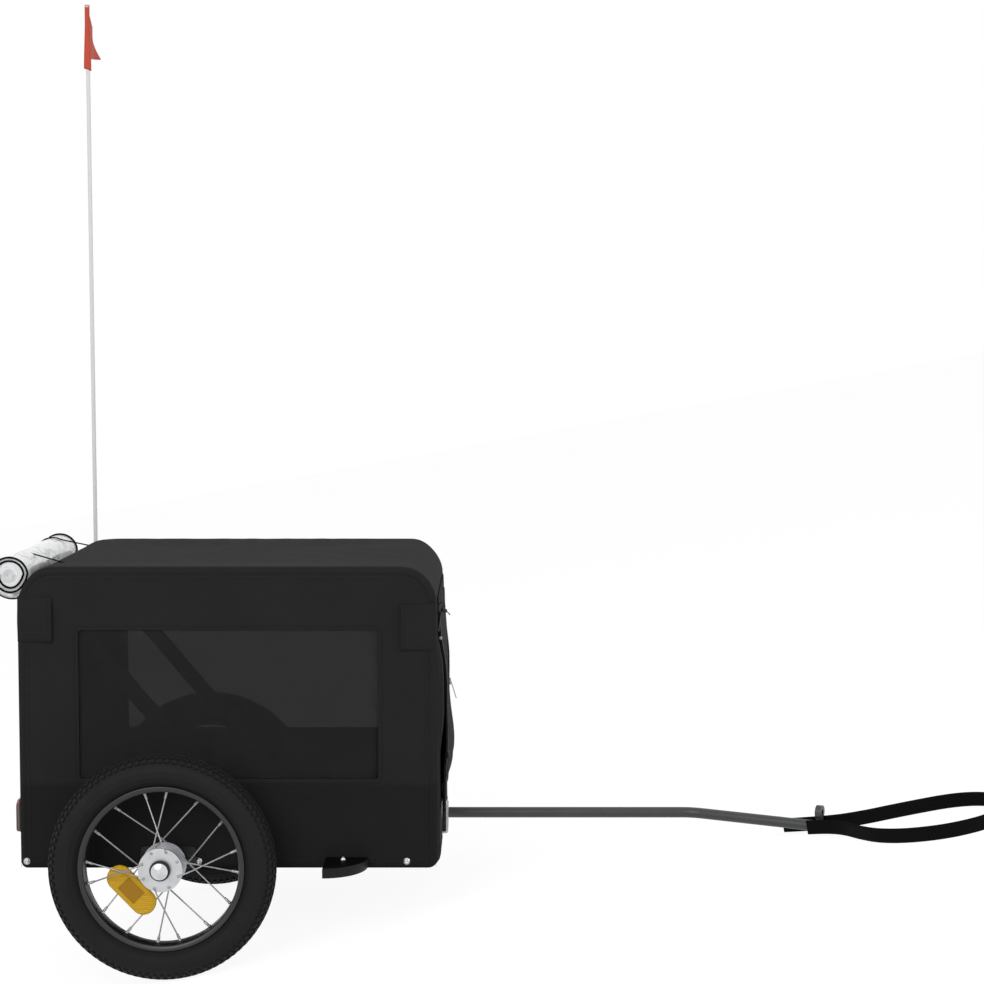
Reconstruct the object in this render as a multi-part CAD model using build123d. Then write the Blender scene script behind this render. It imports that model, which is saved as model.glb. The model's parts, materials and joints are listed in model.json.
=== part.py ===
# Pet bike trailer: a box-shaped fabric cabin on a tube frame, carried by two
# spoked wheels and towed by one cranked drawbar.
#
# Everything is modelled level first: +X runs forward to the drawbar, +Y to the
# left, +Z up, with the origin on the ground below the middle of the wheel line.
# A trailer of this kind parks with its nose down, on both wheels and the tip of
# its drawbar, so at the end every piece gets the same park tilt and shift.
from build123d import *
from math import asin, atan2, cos, degrees, hypot, radians, sin, tan
import os

# ---- driving dimensions (mm, degrees) ----
rim_edge_diameter = 219.0
rim_bore_diameter = 203.0
tyre_section = 45.0
tyre_seat = 4.5                # how far the tyre's round section reaches below the rim's edge
wheel_gap = 32.5               # cabin wall to the tyre's inner side

cabin_length = 558.0
cabin_width = 390.0
cabin_height = 403.0
axle_rise = 13.5               # cabin's bottom edge to the axle
wheel_to_rear = 199.5          # wheel line to the cabin's rear wall
cabin_corner = 48.0            # radius of the cabin's four corners, seen from the side
skin = 2.0                     # padded Oxford fabric, as thick as the whole wall
tube = 16.0                    # outer diameter of the frame tubes
drawbar_tube = 15.0

window_length = 332.0
window_height = 129.0
window_from_rear = 148.5
window_sill = 190.0            # above the cabin's bottom edge
window_corner = 5.0

drawbar_rise = 31.0            # cabin's bottom edge to the drawbar's axis
drawbar_straight = 347.5       # bracket face to the bend
drawbar_crank = 200.0          # bend to the tip
drawbar_angle = 28.0           # sideways, towards the trailer's right

flag_pole_diameter = 6.0
flag_pole_length = 1018.3
cover_roll_diameter = 48.0

# ---- clearances ----
seat = 0.3                     # rest gap between pieces that lie on each other
weld = 0.2                     # gap at a coped or butted tube end
running = 0.05                 # radial gap of a shaft in its bore
door_gap = 0.6                 # cloth door to the wall it closes on

# ---- places that follow from the sizes ----
wheel_radius = rim_edge_diameter / 2 + tyre_section - tyre_seat
track = cabin_width + 2 * wheel_gap + tyre_section
rear_x = -wheel_to_rear
front_x = rear_x + cabin_length
half_width = cabin_width / 2
floor_z = wheel_radius - axle_rise
roof_z = floor_z + cabin_height
tube_r = tube / 2
tube_inset = skin + seat + tube_r      # wall's outer face to the tube's centre
rail_y = half_width - tube_inset
rail_z = floor_z + tube_inset
top_rail_z = roof_z - tube_inset
hoop_rear_x = rear_x + tube_inset
hoop_front_x = front_x - tube_inset
edge_round = tube_r + seat + skin      # the cloth's radius over a frame tube
wall_split_z = roof_z - cabin_corner
corner_rear_x = rear_x + cabin_corner
middle_x = (rear_x + front_x) / 2
drawbar_height = floor_z + drawbar_rise
SIDES = {"left": 1, "right": -1}

nodes = {}


def rod(start, end, radius):
    """A round bar between two points."""
    start, end = Vector(*start), Vector(*end)
    axis = end - start
    return extrude(Plane(start, z_dir=axis) * Circle(radius), axis.length)


def block(low, high):
    """A box between its lowest and highest corners."""
    size = [b - a for a, b in zip(low, high)]
    centre = [(a + b) / 2 for a, b in zip(low, high)]
    return Pos(*centre) * Box(*size)


def turned(*outline):
    """A piece turned about the Y axis from an outline of (radius, y) corners and ready-made edges."""
    edges = [shape for shape in outline if isinstance(shape, Edge)]
    corners = [point for point in outline if not isinstance(point, Edge)]
    profile = Polyline(*corners, close=not edges) + edges
    return revolve(make_face(profile), Axis.Y)


def mirrored(shape, side):
    """The piece as it stands on the left, or its mirror image on the right."""
    return shape if side == "left" else mirror(shape, Plane.XZ)


# ---- wheels, built about the Y axis at the origin with their outer side to +Y ----
rim_edge_r = rim_edge_diameter / 2
rim_bore_r = rim_bore_diameter / 2
rim_half = 15.0
rim_wall = 1.8
hub_flange_r = 29.0
hub_flange_y = 19.5
hub_flange_thick = 3.0
hub_barrel_r = 19.0
hub_half = 24.0
hub_end_r = 13.5               # the dust seal's seat at each end
axle_r = 6.0
spoke_r = 1.0
spoke_circle_r = 25.0
spoke_elbow = 16.0             # hub hole to the bend of a spoke on the outer face
spoke_turn = 22.5              # hub hole away from the quarter line
narrow_pair = 8.5              # rim holes of a crossing pair
wide_pair = 33.3               # rim holes of the pair on the far flange
quarters = 4
wheel_phase = 94.5


def make_tyre():
    """A fat round section with two beads that stand between the rim's flanges."""
    section_r = tyre_section / 2
    centre_r = wheel_radius - section_r
    bead_half = rim_half - rim_wall - seat
    bead_bottom = rim_bore_r + rim_wall + seat
    section = Pos(centre_r, 0) * Circle(section_r)
    bead_height = centre_r - bead_bottom
    section += Pos(bead_bottom + bead_height / 2, 0) * Rectangle(bead_height, 2 * bead_half)
    for way in (1, -1):
        flange = Pos(rim_bore_r, way * (bead_half + rim_half)) * Rectangle(
            2 * (rim_edge_r + seat - rim_bore_r), 2 * rim_half)
        section -= flange
    return revolve(section, Axis.Y)


def make_rim():
    """A U-shaped channel: a flat well with an upright flange on either side."""
    depth = rim_edge_r - rim_bore_r
    section = Pos(rim_bore_r + depth / 2, 0) * Rectangle(depth, 2 * rim_half)
    section -= Pos(rim_bore_r + rim_wall + depth / 2, 0) * Rectangle(depth, 2 * (rim_half - rim_wall))
    return revolve(section, Axis.Y)


def make_hub():
    """A barrel with two spoke flanges, bored for the axle."""
    bore_r = axle_r + running
    barrel_y = hub_flange_y - hub_flange_thick
    half = [(hub_barrel_r, barrel_y), (hub_flange_r, barrel_y), (hub_flange_r, hub_flange_y),
            (hub_end_r, hub_flange_y), (hub_end_r, hub_half), (bore_r, hub_half)]
    other_half = [(radius, -y) for radius, y in reversed(half)]
    return turned(*half, *other_half)


def spoke(hub_angle, rim_angle, flange_side, face_side):
    """One spoke from beside its hub flange to the middle of the rim.

    Spokes on a flange's outer face run flat along it and bend in past its edge.
    """
    stand = hub_flange_y - hub_flange_thick / 2 + face_side * (hub_flange_thick / 2 + spoke_r + seat)
    hub_a = radians(hub_angle)
    rim_a = radians(rim_angle)
    reach = rim_bore_r - seat - spoke_r
    start = Vector(spoke_circle_r * cos(hub_a), flange_side * stand, spoke_circle_r * sin(hub_a))
    end = Vector(reach * cos(rim_a), 0, reach * sin(rim_a))
    if face_side < 0:
        return rod(start, end, spoke_r)
    clear = Vector(end.X, start.Y, end.Z) - start
    elbow = start + clear * (spoke_elbow / clear.length)
    path = Polyline(start, elbow, end)
    return sweep(Plane(start, z_dir=elbow - start) * Circle(spoke_r), path, transition=Transition.RIGHT)


def make_spokes():
    """Sixteen spokes: in each quarter a narrow pair that crosses and a wide pair."""
    spokes = []
    for quarter in range(quarters):
        line = wheel_phase + quarter * 360 / quarters
        for way in (1, -1):
            spokes.append(spoke(line - way * spoke_turn, line + way * narrow_pair, 1, way))
            spokes.append(spoke(line - way * spoke_turn, line + way * wide_pair, -1, way))
    return Compound(spokes)


reflector_length = 88.0
reflector_width = 38.0
reflector_thick = 7.6
reflector_reach = 48.0         # wheel centre to the reflector's middle
reflector_angle = 222.0


def make_wheel_reflector():
    """A lozenge with round ends, clipped between the two sets of spokes."""
    outline = SlotOverall(reflector_length, reflector_width)
    lozenge = extrude(Plane.XZ * outline, reflector_thick / 2, both=True)
    return Rot(0, -reflector_angle, 0) * Pos(reflector_reach, 0, 0) * Rot(0, 90, 0) * lozenge


hub_end_gap = 0.5              # hub to the axle boss, and hub to the axle's head
boss_outer_y = track / 2 - hub_half - hub_end_gap
boss_r = 12.0
plate_thick = 4.0
plate_length = 74.0
plate_height = 30.0
plate_corner = 6.0
axle_head_r = 11.0
axle_head_thick = 3.0
axle_dome_r = 10.0
axle_dome_height = 2.8


def make_axle():
    """The quick-release axle: a shaft from the boss, through the hub, to a domed head."""
    inner = half_width + seat + plate_thick - track / 2
    head_y = hub_half + hub_end_gap
    rim_y = head_y + axle_head_thick
    top_y = rim_y + axle_dome_height
    dome_radius = (axle_dome_r ** 2 + axle_dome_height ** 2) / (2 * axle_dome_height)
    return turned(
        (0, top_y), (0, inner), (axle_r, inner), (axle_r, head_y), (axle_head_r, head_y),
        (axle_head_r, rim_y), (axle_dome_r, rim_y),
        RadiusArc((axle_dome_r, rim_y), (0, top_y), -dome_radius))


def make_axle_bracket():
    """A plate bolted through the cloth to the base rail, with the axle's boss."""
    inner = half_width + seat
    plate = Plane.XZ.offset(-inner) * Pos(0, wheel_radius) * RectangleRounded(
        plate_length, plate_height, plate_corner)
    bracket = extrude(plate, -plate_thick)
    bracket += Pos(0, 0, wheel_radius) * rod((0, inner, 0), (0, boss_outer_y, 0), boss_r)
    bore = rod((0, inner + plate_thick, 0), (0, boss_outer_y + 1, 0), axle_r + running)
    return bracket - Pos(0, 0, wheel_radius) * bore


for side in SIDES:
    place = Pos(0, track / 2, wheel_radius)
    wheel_pieces = {
        "tyre": make_tyre(), "rim": make_rim(), "hub": make_hub(),
        "spokes": make_spokes(), "wheel_reflector": make_wheel_reflector(),
        "axle": make_axle(),
    }
    for name, shape in wheel_pieces.items():
        nodes[f"{name}_{side}"] = mirrored(place * shape, side)
    nodes[f"axle_bracket_{side}"] = mirrored(make_axle_bracket(), side)


# ---- tube frame ----
def make_base_rail():
    """The long tube low in each side wall, with a domed plug in each end."""
    rail = rod((hoop_rear_x, rail_y, rail_z), (hoop_front_x, rail_y, rail_z), tube_r)
    for x in (hoop_rear_x, hoop_front_x):
        rail += Pos(x, rail_y, rail_z) * Sphere(tube_r)
    return rail


def make_crossbar(x, z):
    """A tube across the cabin, coped to the two rails at its ends."""
    bar = rod((x, -rail_y, z), (x, rail_y, z), tube_r)
    for way in (1, -1):
        bar -= rod((x - tube, way * rail_y, z), (x + tube, way * rail_y, z), tube_r + weld)
    return bar


hoop_bend = cabin_corner - tube_inset
hoop_foot_z = rail_z + tube_r + weld


def make_side_hoop():
    """An upside-down U of bent tube that stands on the base rail."""
    path = FilletPolyline(
        (hoop_rear_x, rail_y, hoop_foot_z),
        (hoop_rear_x, rail_y, top_rail_z),
        (hoop_front_x, rail_y, top_rail_z),
        (hoop_front_x, rail_y, hoop_foot_z),
        radius=hoop_bend,
    )
    return sweep(Plane(path @ 0, z_dir=path % 0) * Circle(tube_r), path)


strut_width = 22.0
strut_thick = 4.0
strut_top_x = rear_x + 38.0
strut_top_z = roof_z - 34.0
strut_foot_x = middle_x + 61.5         # ahead of the middle crossbar


def make_strut():
    """The flat diagonal brace, inside the hoop, from its rear corner to the base rail."""
    inner = rail_y - tube_r - seat
    top = Vector(strut_top_x, 0, strut_top_z)
    foot = Vector(strut_foot_x, 0, rail_z)
    run = top - foot
    middle = (top + foot) * 0.5
    lean = degrees(atan2(run.Z, run.X))
    outline = SlotOverall(run.length + strut_width, strut_width)
    bar = extrude(Plane.XZ * outline, strut_thick)
    return Pos(middle.X, inner, middle.Z) * Rot(0, -lean, 0) * bar


for side in SIDES:
    nodes[f"base_rail_{side}"] = mirrored(make_base_rail(), side)
    nodes[f"side_hoop_{side}"] = mirrored(make_side_hoop(), side)
    nodes[f"strut_{side}"] = mirrored(make_strut(), side)

crossbar_inset = 60.0
nodes["base_crossbar_front"] = make_crossbar(hoop_front_x, rail_z)
nodes["base_crossbar_middle"] = make_crossbar(middle_x, rail_z)
nodes["base_crossbar_rear"] = make_crossbar(hoop_rear_x, rail_z)
nodes["top_crossbar_front"] = make_crossbar(hoop_front_x - crossbar_inset, top_rail_z)
nodes["top_crossbar_rear"] = make_crossbar(hoop_rear_x + crossbar_inset, top_rail_z)

# ---- cabin skin ----


def cabin_form(inset):
    """The cabin's outer form, drawn in by inset: round corners seen from the side."""
    length = cabin_length - 2 * inset
    height = cabin_height - inset
    corner = cabin_corner - inset
    outline = make_face(FilletPolyline(
        (-length / 2, 0), (-length / 2, height), (length / 2, height), (length / 2, 0),
        radius=corner) + Line((length / 2, 0), (-length / 2, 0)))
    form = extrude(Plane.XZ * outline, half_width - inset, both=True)
    form = Pos(middle_x, 0, floor_z) * form
    side_edges = [
        edge for edge in form.edges()
        if abs(abs(edge.center().Y) - (half_width - inset)) < 0.01
        and edge.center().Z > floor_z + 1
    ]
    return fillet(side_edges, edge_round - inset)


inner_form = cabin_form(skin)
skin_form = cabin_form(0) - inner_form - Pos(0, 0, -1) * block(
    (rear_x + skin, skin - half_width, floor_z - 5), (front_x - skin, half_width - skin, floor_z + 5))


def window_hole():
    """The rectangular window with small round corners, through one side."""
    low_x = rear_x + window_from_rear
    low_z = floor_z + window_sill
    outline = RectangleRounded(window_length, window_height, window_corner)
    plane = Plane.XZ.offset(-half_width + 2 * skin)
    return extrude(plane * Pos(low_x + window_length / 2, low_z + window_height / 2) * outline, -3 * skin)


side_form = extrude(
    Plane.XZ.offset(-half_width + skin) * Pos(middle_x, floor_z) * make_face(FilletPolyline(
        (edge_round - cabin_length / 2, 0),
        (edge_round - cabin_length / 2, cabin_height - edge_round),
        (cabin_length / 2 - edge_round, cabin_height - edge_round),
        (cabin_length / 2 - edge_round, 0),
        radius=cabin_corner - edge_round) + Line(
            (cabin_length / 2 - edge_round, 0), (edge_round - cabin_length / 2, 0))),
    -skin)
side_panel = side_form - window_hole()
nodes["side_panel_left"] = side_panel
nodes["side_panel_right"] = mirrored(side_panel, "right")

mesh_lap = 6.0
mesh_thick = 0.8


def make_window_mesh():
    """The mesh panel sewn to the inside of the wall, a little larger than the window."""
    low_x = rear_x + window_from_rear
    low_z = floor_z + window_sill
    plane = Plane.XZ.offset(-half_width + skin + mesh_thick)
    outline = RectangleRounded(
        window_length + 2 * mesh_lap, window_height + 2 * mesh_lap, window_corner + mesh_lap / 2)
    centre = Pos(low_x + window_length / 2, low_z + window_height / 2)
    return extrude(plane * centre * outline, -mesh_thick)


nodes["window_mesh_left"] = make_window_mesh()
nodes["window_mesh_right"] = mirrored(make_window_mesh(), "right")

shell = skin_form - side_form - mirrored(side_form, "right")
far = 2000.0
above = block((-far, -far, wall_split_z), (far, far, far))
below = block((-far, -far, -far), (far, far, wall_split_z))
nodes["roof_cover"] = shell & above

door_width = 276.0
door_sill = 76.0               # above the cabin's bottom edge
door_header = 12.0             # doorway to the roof cover's lower edge
door_corner = 20.0
door_height = wall_split_z - floor_z - door_sill - door_header


def doorway_outline(grow):
    """The doorway seen from ahead, or a larger one that covers it."""
    return Pos(0, floor_z + door_sill + door_height / 2) * RectangleRounded(
        door_width + 2 * grow, door_height + 2 * grow, door_corner)


def door_hole(x):
    """A doorway through the wall at x."""
    outline = Plane.YZ.offset(x - 2 * skin) * doorway_outline(0)
    return extrude(outline, 4 * skin)


front_half = block((middle_x, -far, -far), (far, far, far))
rear_half = block((-far, -far, -far), (middle_x, far, far))
foot_round = 10.0              # the walls' feet, turned in under the lowest crossbars


def turn_foot_in(wall, x, way):
    """The wall with its foot rolled in under the crossbar; way is 1 at the front and -1 at the rear."""
    flat_half = half_width - edge_round
    middle = (x - way * foot_round, floor_z + foot_round)
    low = (middle[0], -far, floor_z - 1)
    high = (x + way, far, floor_z + foot_round)
    corner = block([min(pair) for pair in zip(low, high)], [max(pair) for pair in zip(low, high)])
    outer = rod((middle[0], -far, middle[1]), (middle[0], far, middle[1]), foot_round)
    inner = rod((middle[0], -far, middle[1]), (middle[0], far, middle[1]), foot_round - skin)
    across = block((-far, -flat_half, -far), (far, flat_half, far))
    return wall - (corner - outer) + ((outer - inner) & corner & across)


nodes["front_wall"] = turn_foot_in((shell & below & front_half) - door_hole(front_x), front_x, 1)
nodes["rear_wall"] = turn_foot_in((shell & below & rear_half) - door_hole(rear_x), rear_x, -1)

# floor board on the base crossbars, inside the walls
board_thick = 4.0
board_gap = 1.0                # board's edge to the hoops and struts
board_low = rail_z + tube_r + seat
board_half = rail_y - tube_r - seat - strut_thick - board_gap
nodes["floor_board"] = block(
    (hoop_rear_x + tube_r + board_gap, -board_half, board_low),
    (hoop_front_x - tube_r - board_gap, board_half, board_low + board_thick))

# ---- doors ----
flap_thick = 2.0
flap_lap = 14.0                # door cloth past the doorway's edge
flap_belly = 15.0              # how far the loose flap stands out
flap_belly_drop = 224.0        # top edge to where it stands out most
door_frame = 34.0              # cloth left round the rear door's mesh
door_low_z = floor_z + door_sill - flap_lap
door_high_z = floor_z + door_sill + door_height + flap_lap
flap_back_x = front_x + door_gap
door_back_x = rear_x - door_gap


def belly_line(x):
    """The loose flap seen from the side: flat at both ends, fullest low down."""
    full = (x + flap_belly, door_high_z - flap_belly_drop)
    low = TangentArc(full, (x, door_low_z), tangent=(0, -1))
    high = TangentArc(full, (x, door_high_z), tangent=(0, 1))
    return low + high


def make_front_flap():
    """The cloth flap over the front doorway: a bellied sheet sewn on at its top."""
    back = belly_line(flap_back_x)
    face = belly_line(flap_back_x + flap_thick)
    rims = [Line((flap_back_x, z), (flap_back_x + flap_thick, z)) for z in (door_low_z, door_high_z)]
    outline = make_face(back + face + rims)
    return extrude(Plane.XZ * outline, door_width / 2 + flap_lap, both=True)


def make_rear_door():
    """The cloth frame of the rear door, round its mesh."""
    outline = doorway_outline(flap_lap) - doorway_outline(-door_frame)
    return extrude(Plane.YZ.offset(door_back_x) * outline, -flap_thick)


def make_rear_mesh():
    """The rear door's mesh, let into the cloth frame."""
    outline = doorway_outline(-door_frame - weld)
    return extrude(Plane.YZ.offset(door_back_x - flap_thick / 2) * outline, -mesh_thick)


nodes["front_flap"] = make_front_flap()
nodes["rear_door"] = make_rear_door()
nodes["rear_mesh"] = make_rear_mesh()
flap_hinge = (flap_back_x + flap_thick / 2, 0, door_high_z)
door_hinge = (door_back_x - flap_thick / 2, 0, door_low_z)

# ---- clear cover, rolled up against the cabin's rear top corner ----
roll_r = cover_roll_diameter / 2
roll_half = 180.0
roll_angle = 147.5             # round the corner's centre, up from straight ahead
roll_reach = cabin_corner + seat + roll_r
roll_x = corner_rear_x + roll_reach * cos(radians(roll_angle))
roll_z = wall_split_z + roll_reach * sin(radians(roll_angle))
nodes["rolled_cover"] = rod((roll_x, -roll_half, roll_z), (roll_x, roll_half, roll_z), roll_r)

# ---- drawbar and its bracket ----
bracket_x = front_x + seat
bracket_plate = 3.0
bracket_depth = 11.5           # back of the bracket to the face that the drawbar butts on
bracket_width = 40.0
bracket_height = 40.0
bracket_corner = 5.0
bracket_bend = 3.5             # to the middle of the plate
bracket_low_z = floor_z + 4.0
drawbar_r = drawbar_tube / 2
drawbar_wall = 1.5
drawbar_bend = 60.0
tongue_r = drawbar_r - drawbar_wall
pin_r = 2.5
pin_x = bracket_x + bracket_depth / 2
pin_stub = 4.0                 # the pin's end below the tongue
pin_head_r = 2.3
pin_head_half = 5.0
drawbar_rear_x = bracket_x + bracket_depth + weld
bend_x = drawbar_rear_x + drawbar_straight
crank = radians(drawbar_angle)
tip_x = bend_x + drawbar_crank * cos(crank)
tip_y = -drawbar_crank * sin(crank)


def tongue(radius):
    """The rod that the drawbar pushes through both legs of its bracket."""
    return rod((bracket_x, 0, drawbar_height), (drawbar_rear_x, 0, drawbar_height), radius)


def make_hitch_bracket():
    """A plated steel plate bent to a U, one leg on the front wall, with a hole through both for the tongue."""
    middle = bracket_plate / 2
    back_x, leg_x = bracket_x + middle, bracket_x + bracket_depth - middle
    foot_z, top_z = bracket_low_z + middle, bracket_low_z + bracket_height
    bent = trace(FilletPolyline(
        (back_x, top_z), (back_x, foot_z), (leg_x, foot_z), (leg_x, top_z), radius=bracket_bend), bracket_plate)
    bracket = extrude(Plane.XZ * bent, bracket_width / 2, both=True)
    outline = Plane.YZ.offset(bracket_x) * Pos(0, bracket_low_z + bracket_height / 2) * RectangleRounded(
        bracket_width, bracket_height, bracket_corner)
    bracket &= extrude(outline, bracket_depth)
    return bracket - tongue(tongue_r + running)


def make_drawbar():
    """One tube, cranked sideways to reach the side of the towing bike's wheel, with a tongue welded in its end."""
    path = FilletPolyline(
        (drawbar_rear_x, 0, drawbar_height), (bend_x, 0, drawbar_height), (tip_x, tip_y, drawbar_height),
        radius=drawbar_bend)
    bar = sweep(Plane(path @ 0, z_dir=path % 0) * Circle(drawbar_r), path)
    reach = tongue_r + 1
    pin_hole = rod((pin_x, 0, drawbar_height - reach), (pin_x, 0, drawbar_height + reach), pin_r + running)
    return bar + tongue(tongue_r) - pin_hole


def make_hitch_pin():
    """The drop pin with a cross head that locks the tongue between the legs of the bracket."""
    head_z = drawbar_height + tongue_r + seat + pin_head_r
    pin = rod((pin_x, 0, drawbar_height - tongue_r - pin_stub), (pin_x, 0, head_z), pin_r)
    return pin + rod((pin_x, -pin_head_half, head_z), (pin_x, pin_head_half, head_z), pin_head_r)


eye_outer_r = 9.5
eye_hole_r = 4.0
eye_thick = 8.0
eye_neck_width = 10.0
eye_rise = 20.0
eye_back = 9.0                 # tip of the drawbar to the eye's middle
eye_x = tip_x - eye_back * cos(crank)
eye_y = tip_y + eye_back * sin(crank)


def make_hitch_eye():
    """The eye that stands on the drawbar's tip: a ring on a neck shaped to the tube."""
    ring = extrude(Plane.YZ * Circle(eye_outer_r), eye_thick / 2, both=True)
    neck = block((-eye_thick / 2, -eye_neck_width / 2, -eye_rise),
                 (eye_thick / 2, eye_neck_width / 2, -(eye_outer_r + eye_hole_r) / 2))
    eye = ring + neck
    eye -= extrude(Plane.YZ * Circle(eye_hole_r), eye_thick, both=True)
    return eye - rod((-eye_thick, 0, -eye_rise), (eye_thick, 0, -eye_rise), drawbar_r + running)


nodes["hitch_bracket"] = make_hitch_bracket()
nodes["hitch_pin"] = make_hitch_pin()
nodes["drawbar"] = make_drawbar()
nodes["hitch_eye"] = Pos(eye_x, eye_y, drawbar_height + eye_rise) * Rot(0, 0, -drawbar_angle) * make_hitch_eye()

# ---- wheel guards ----
guard_length = 60.0
guard_reach = 62.0
guard_wall = 2.5
guard_drop = 11.4
guard_rear_x = wheel_radius + 56.5     # just ahead of the tyre
guard_top_z = floor_z + 13.5


def quarter_round(inset):
    """A quarter of an oval, drawn in by inset on its straight sides and its curve."""
    far_side = 2 * guard_reach
    corner = Pos(inset + far_side / 2, inset + far_side / 2) * Rectangle(far_side, far_side)
    return Ellipse(guard_length - inset, guard_reach - inset) & corner


def make_wheel_guard():
    """A quarter-round plate with a down-turned edge, on the side ahead of the wheel."""
    guard = extrude(Plane.XY * quarter_round(0), guard_drop)
    guard -= extrude(Plane.XY * quarter_round(guard_wall), guard_drop - guard_wall)
    return Pos(guard_rear_x, half_width + seat, guard_top_z - guard_drop) * guard


lens_box = (22.0, 44.0, 6.5)   # width, height, depth
lens_corner = 5.0
lens_y = half_width - 22.0
lens_z = floor_z + 66.5


def make_rear_reflector():
    """A rounded block on the rear wall, low beside the door."""
    width, height, depth = lens_box
    outline = Pos(lens_y, lens_z) * RectangleRounded(width, height, lens_corner)
    return extrude(Plane.YZ.offset(rear_x - seat) * outline, -depth)


for side in SIDES:
    nodes[f"wheel_guard_{side}"] = mirrored(make_wheel_guard(), side)
    nodes[f"rear_reflector_{side}"] = mirrored(make_rear_reflector(), side)

# ---- safety flag ----
pole_r = flag_pole_diameter / 2
pocket_wall = 2.0
pocket_low_z = floor_z + 180.0
pocket_length = 170.0
pole_low_z = pocket_low_z + pocket_wall + weld
flag_top = pole_low_z + flag_pole_length
flag_x = rear_x + 36.0
flag_y = half_width + seat + pocket_wall + running + pole_r
flag_height = 100.0
flag_spread = 74.0             # pole to the pennant's point
flag_droop = 16.0
flag_thick = 1.2


def make_flag_pocket():
    """The sewn sleeve on the left wall that the pole stands in."""
    half = pole_r + running + pocket_wall
    sleeve = block((flag_x - half, half_width + seat, pocket_low_z),
                   (flag_x + half, flag_y + half, pocket_low_z + pocket_length))
    bore = rod((flag_x, flag_y, pocket_low_z + pocket_wall), (flag_x, flag_y, pocket_low_z + pocket_length + 1),
               pole_r + running)
    return sleeve - bore


def make_flag():
    """The pennant, drooping a little, out to the trailer's left."""
    near = flag_y + pole_r + seat
    outline = make_face(Polyline(
        (near, flag_top), (near + flag_spread, flag_top - flag_height / 2 - flag_droop),
        (near, flag_top - flag_height), close=True))
    return extrude(Plane.YZ.offset(flag_x - flag_thick / 2) * outline, flag_thick)


nodes["flag_pocket"] = make_flag_pocket()
nodes["flag_pole"] = rod((flag_x, flag_y, pole_low_z), (flag_x, flag_y, flag_top), pole_r)
nodes["flag"] = make_flag()

# ---- park tilt: both wheels and the underside of the drawbar's tip on the floor ----
rest_drop = drawbar_height - drawbar_r - wheel_radius
park_tilt = degrees(asin(wheel_radius / hypot(tip_x, rest_drop)) + atan2(rest_drop, tip_x))
tilt = Pos(0, 0, wheel_radius) * Rot(0, park_tilt, 0) * Pos(0, 0, -wheel_radius)
nodes = {name: tilt * shape for name, shape in nodes.items()}
foot = Compound(list(nodes.values())).bounding_box()
middle = Pos(-(foot.min.X + foot.max.X) / 2, 0, 0)
nodes = {name: middle * shape for name, shape in nodes.items()}
park = middle * tilt

# ---- safety strap: a loop of webbing that lies on edge on the floor, ahead of the tip ----
strap_width = 20.0
strap_thick = 2.0
strap_lift = 0.5
strap_route = [                # forward and left of the drawbar's tip, on the floor
    (-53.8, 39.25), (4.2, 7.9), (52.0, 2.0), (112.0, 10.0), (190.0, 12.0), (233.0, -25.0),
    (241.0, -84.0), (204.0, -133.0), (146.0, -149.0), (92.0, -137.0), (55.0, -110.0),
    (34.0, -72.0), (20.0, -36.0), (0.2, -10.4), (-25.2, 3.4),
]


def corner_radii(points):
    """A radius for each corner that takes 0.45 of the shorter run beside it."""
    radii = []
    for before, here, after in zip(points, points[1:], points[2:]):
        into, out = Vector(*here) - Vector(*before), Vector(*after) - Vector(*here)
        half_turn = radians(into.get_angle(out)) / 2
        radii.append(0.45 * min(into.length, out.length) / tan(half_turn))
    return radii


def make_safety_strap(tip):
    """The webbing band, from one side of the drawbar's tip round to the other."""
    points = [(tip.X + x, tip.Y + y) for x, y in strap_route]
    radii = corner_radii(points)
    path = FilletPolyline(*points, radius=radii)
    band = Plane.XY.offset(strap_lift) * trace(path, strap_thick)
    strap = extrude(band, strap_width)
    print("strap length", round(path.length, 1), "radii", [round(r) for r in radii],
          "volume ratio", round(strap.volume / (path.length * strap_width * strap_thick), 3))
    return strap


tip_point = (park * Pos(tip_x, tip_y, drawbar_height)).position
nodes["safety_strap"] = make_safety_strap(tip_point)

if __name__ == "__main__":
    os.makedirs("parts", exist_ok=True)
    for name, shape in nodes.items():
        export_step(shape, f"parts/{name}.step")
    print("park tilt", round(park_tilt, 3), "nodes", len(nodes))
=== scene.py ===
import json
import math

import bmesh
import bpy
from mathutils import Matrix, Vector, noise


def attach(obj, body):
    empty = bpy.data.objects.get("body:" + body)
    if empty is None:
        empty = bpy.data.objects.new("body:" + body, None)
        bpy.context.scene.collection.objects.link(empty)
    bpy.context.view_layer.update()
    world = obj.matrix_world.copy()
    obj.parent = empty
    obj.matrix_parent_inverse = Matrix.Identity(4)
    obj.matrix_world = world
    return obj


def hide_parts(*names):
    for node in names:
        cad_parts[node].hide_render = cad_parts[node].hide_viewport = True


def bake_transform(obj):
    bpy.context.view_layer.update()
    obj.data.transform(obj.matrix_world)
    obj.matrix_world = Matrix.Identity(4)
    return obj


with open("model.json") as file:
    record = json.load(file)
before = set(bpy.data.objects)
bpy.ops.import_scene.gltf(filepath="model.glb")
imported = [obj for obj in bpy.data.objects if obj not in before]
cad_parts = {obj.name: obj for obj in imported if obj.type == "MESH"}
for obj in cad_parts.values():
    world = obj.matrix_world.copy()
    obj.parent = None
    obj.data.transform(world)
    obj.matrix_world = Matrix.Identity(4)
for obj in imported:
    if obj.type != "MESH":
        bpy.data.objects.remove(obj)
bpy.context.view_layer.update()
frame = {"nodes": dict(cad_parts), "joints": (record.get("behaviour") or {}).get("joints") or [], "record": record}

# ---- How the trailer stands ----
# It parks nose down, on both wheels and the tip of its drawbar. Its cabin is square to its floor
# board, so each piece is drawn level, measured from the middle of the wheel line, and then tipped.
spin = next(joint for joint in frame["joints"] if joint["name"] == "wheel_left_spin")
board_up = next(mount for mount in frame["record"]["mounts"] if mount["name"] == "pet_floor")["axis"]
tilt = math.atan2(board_up[0], board_up[2])
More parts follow.
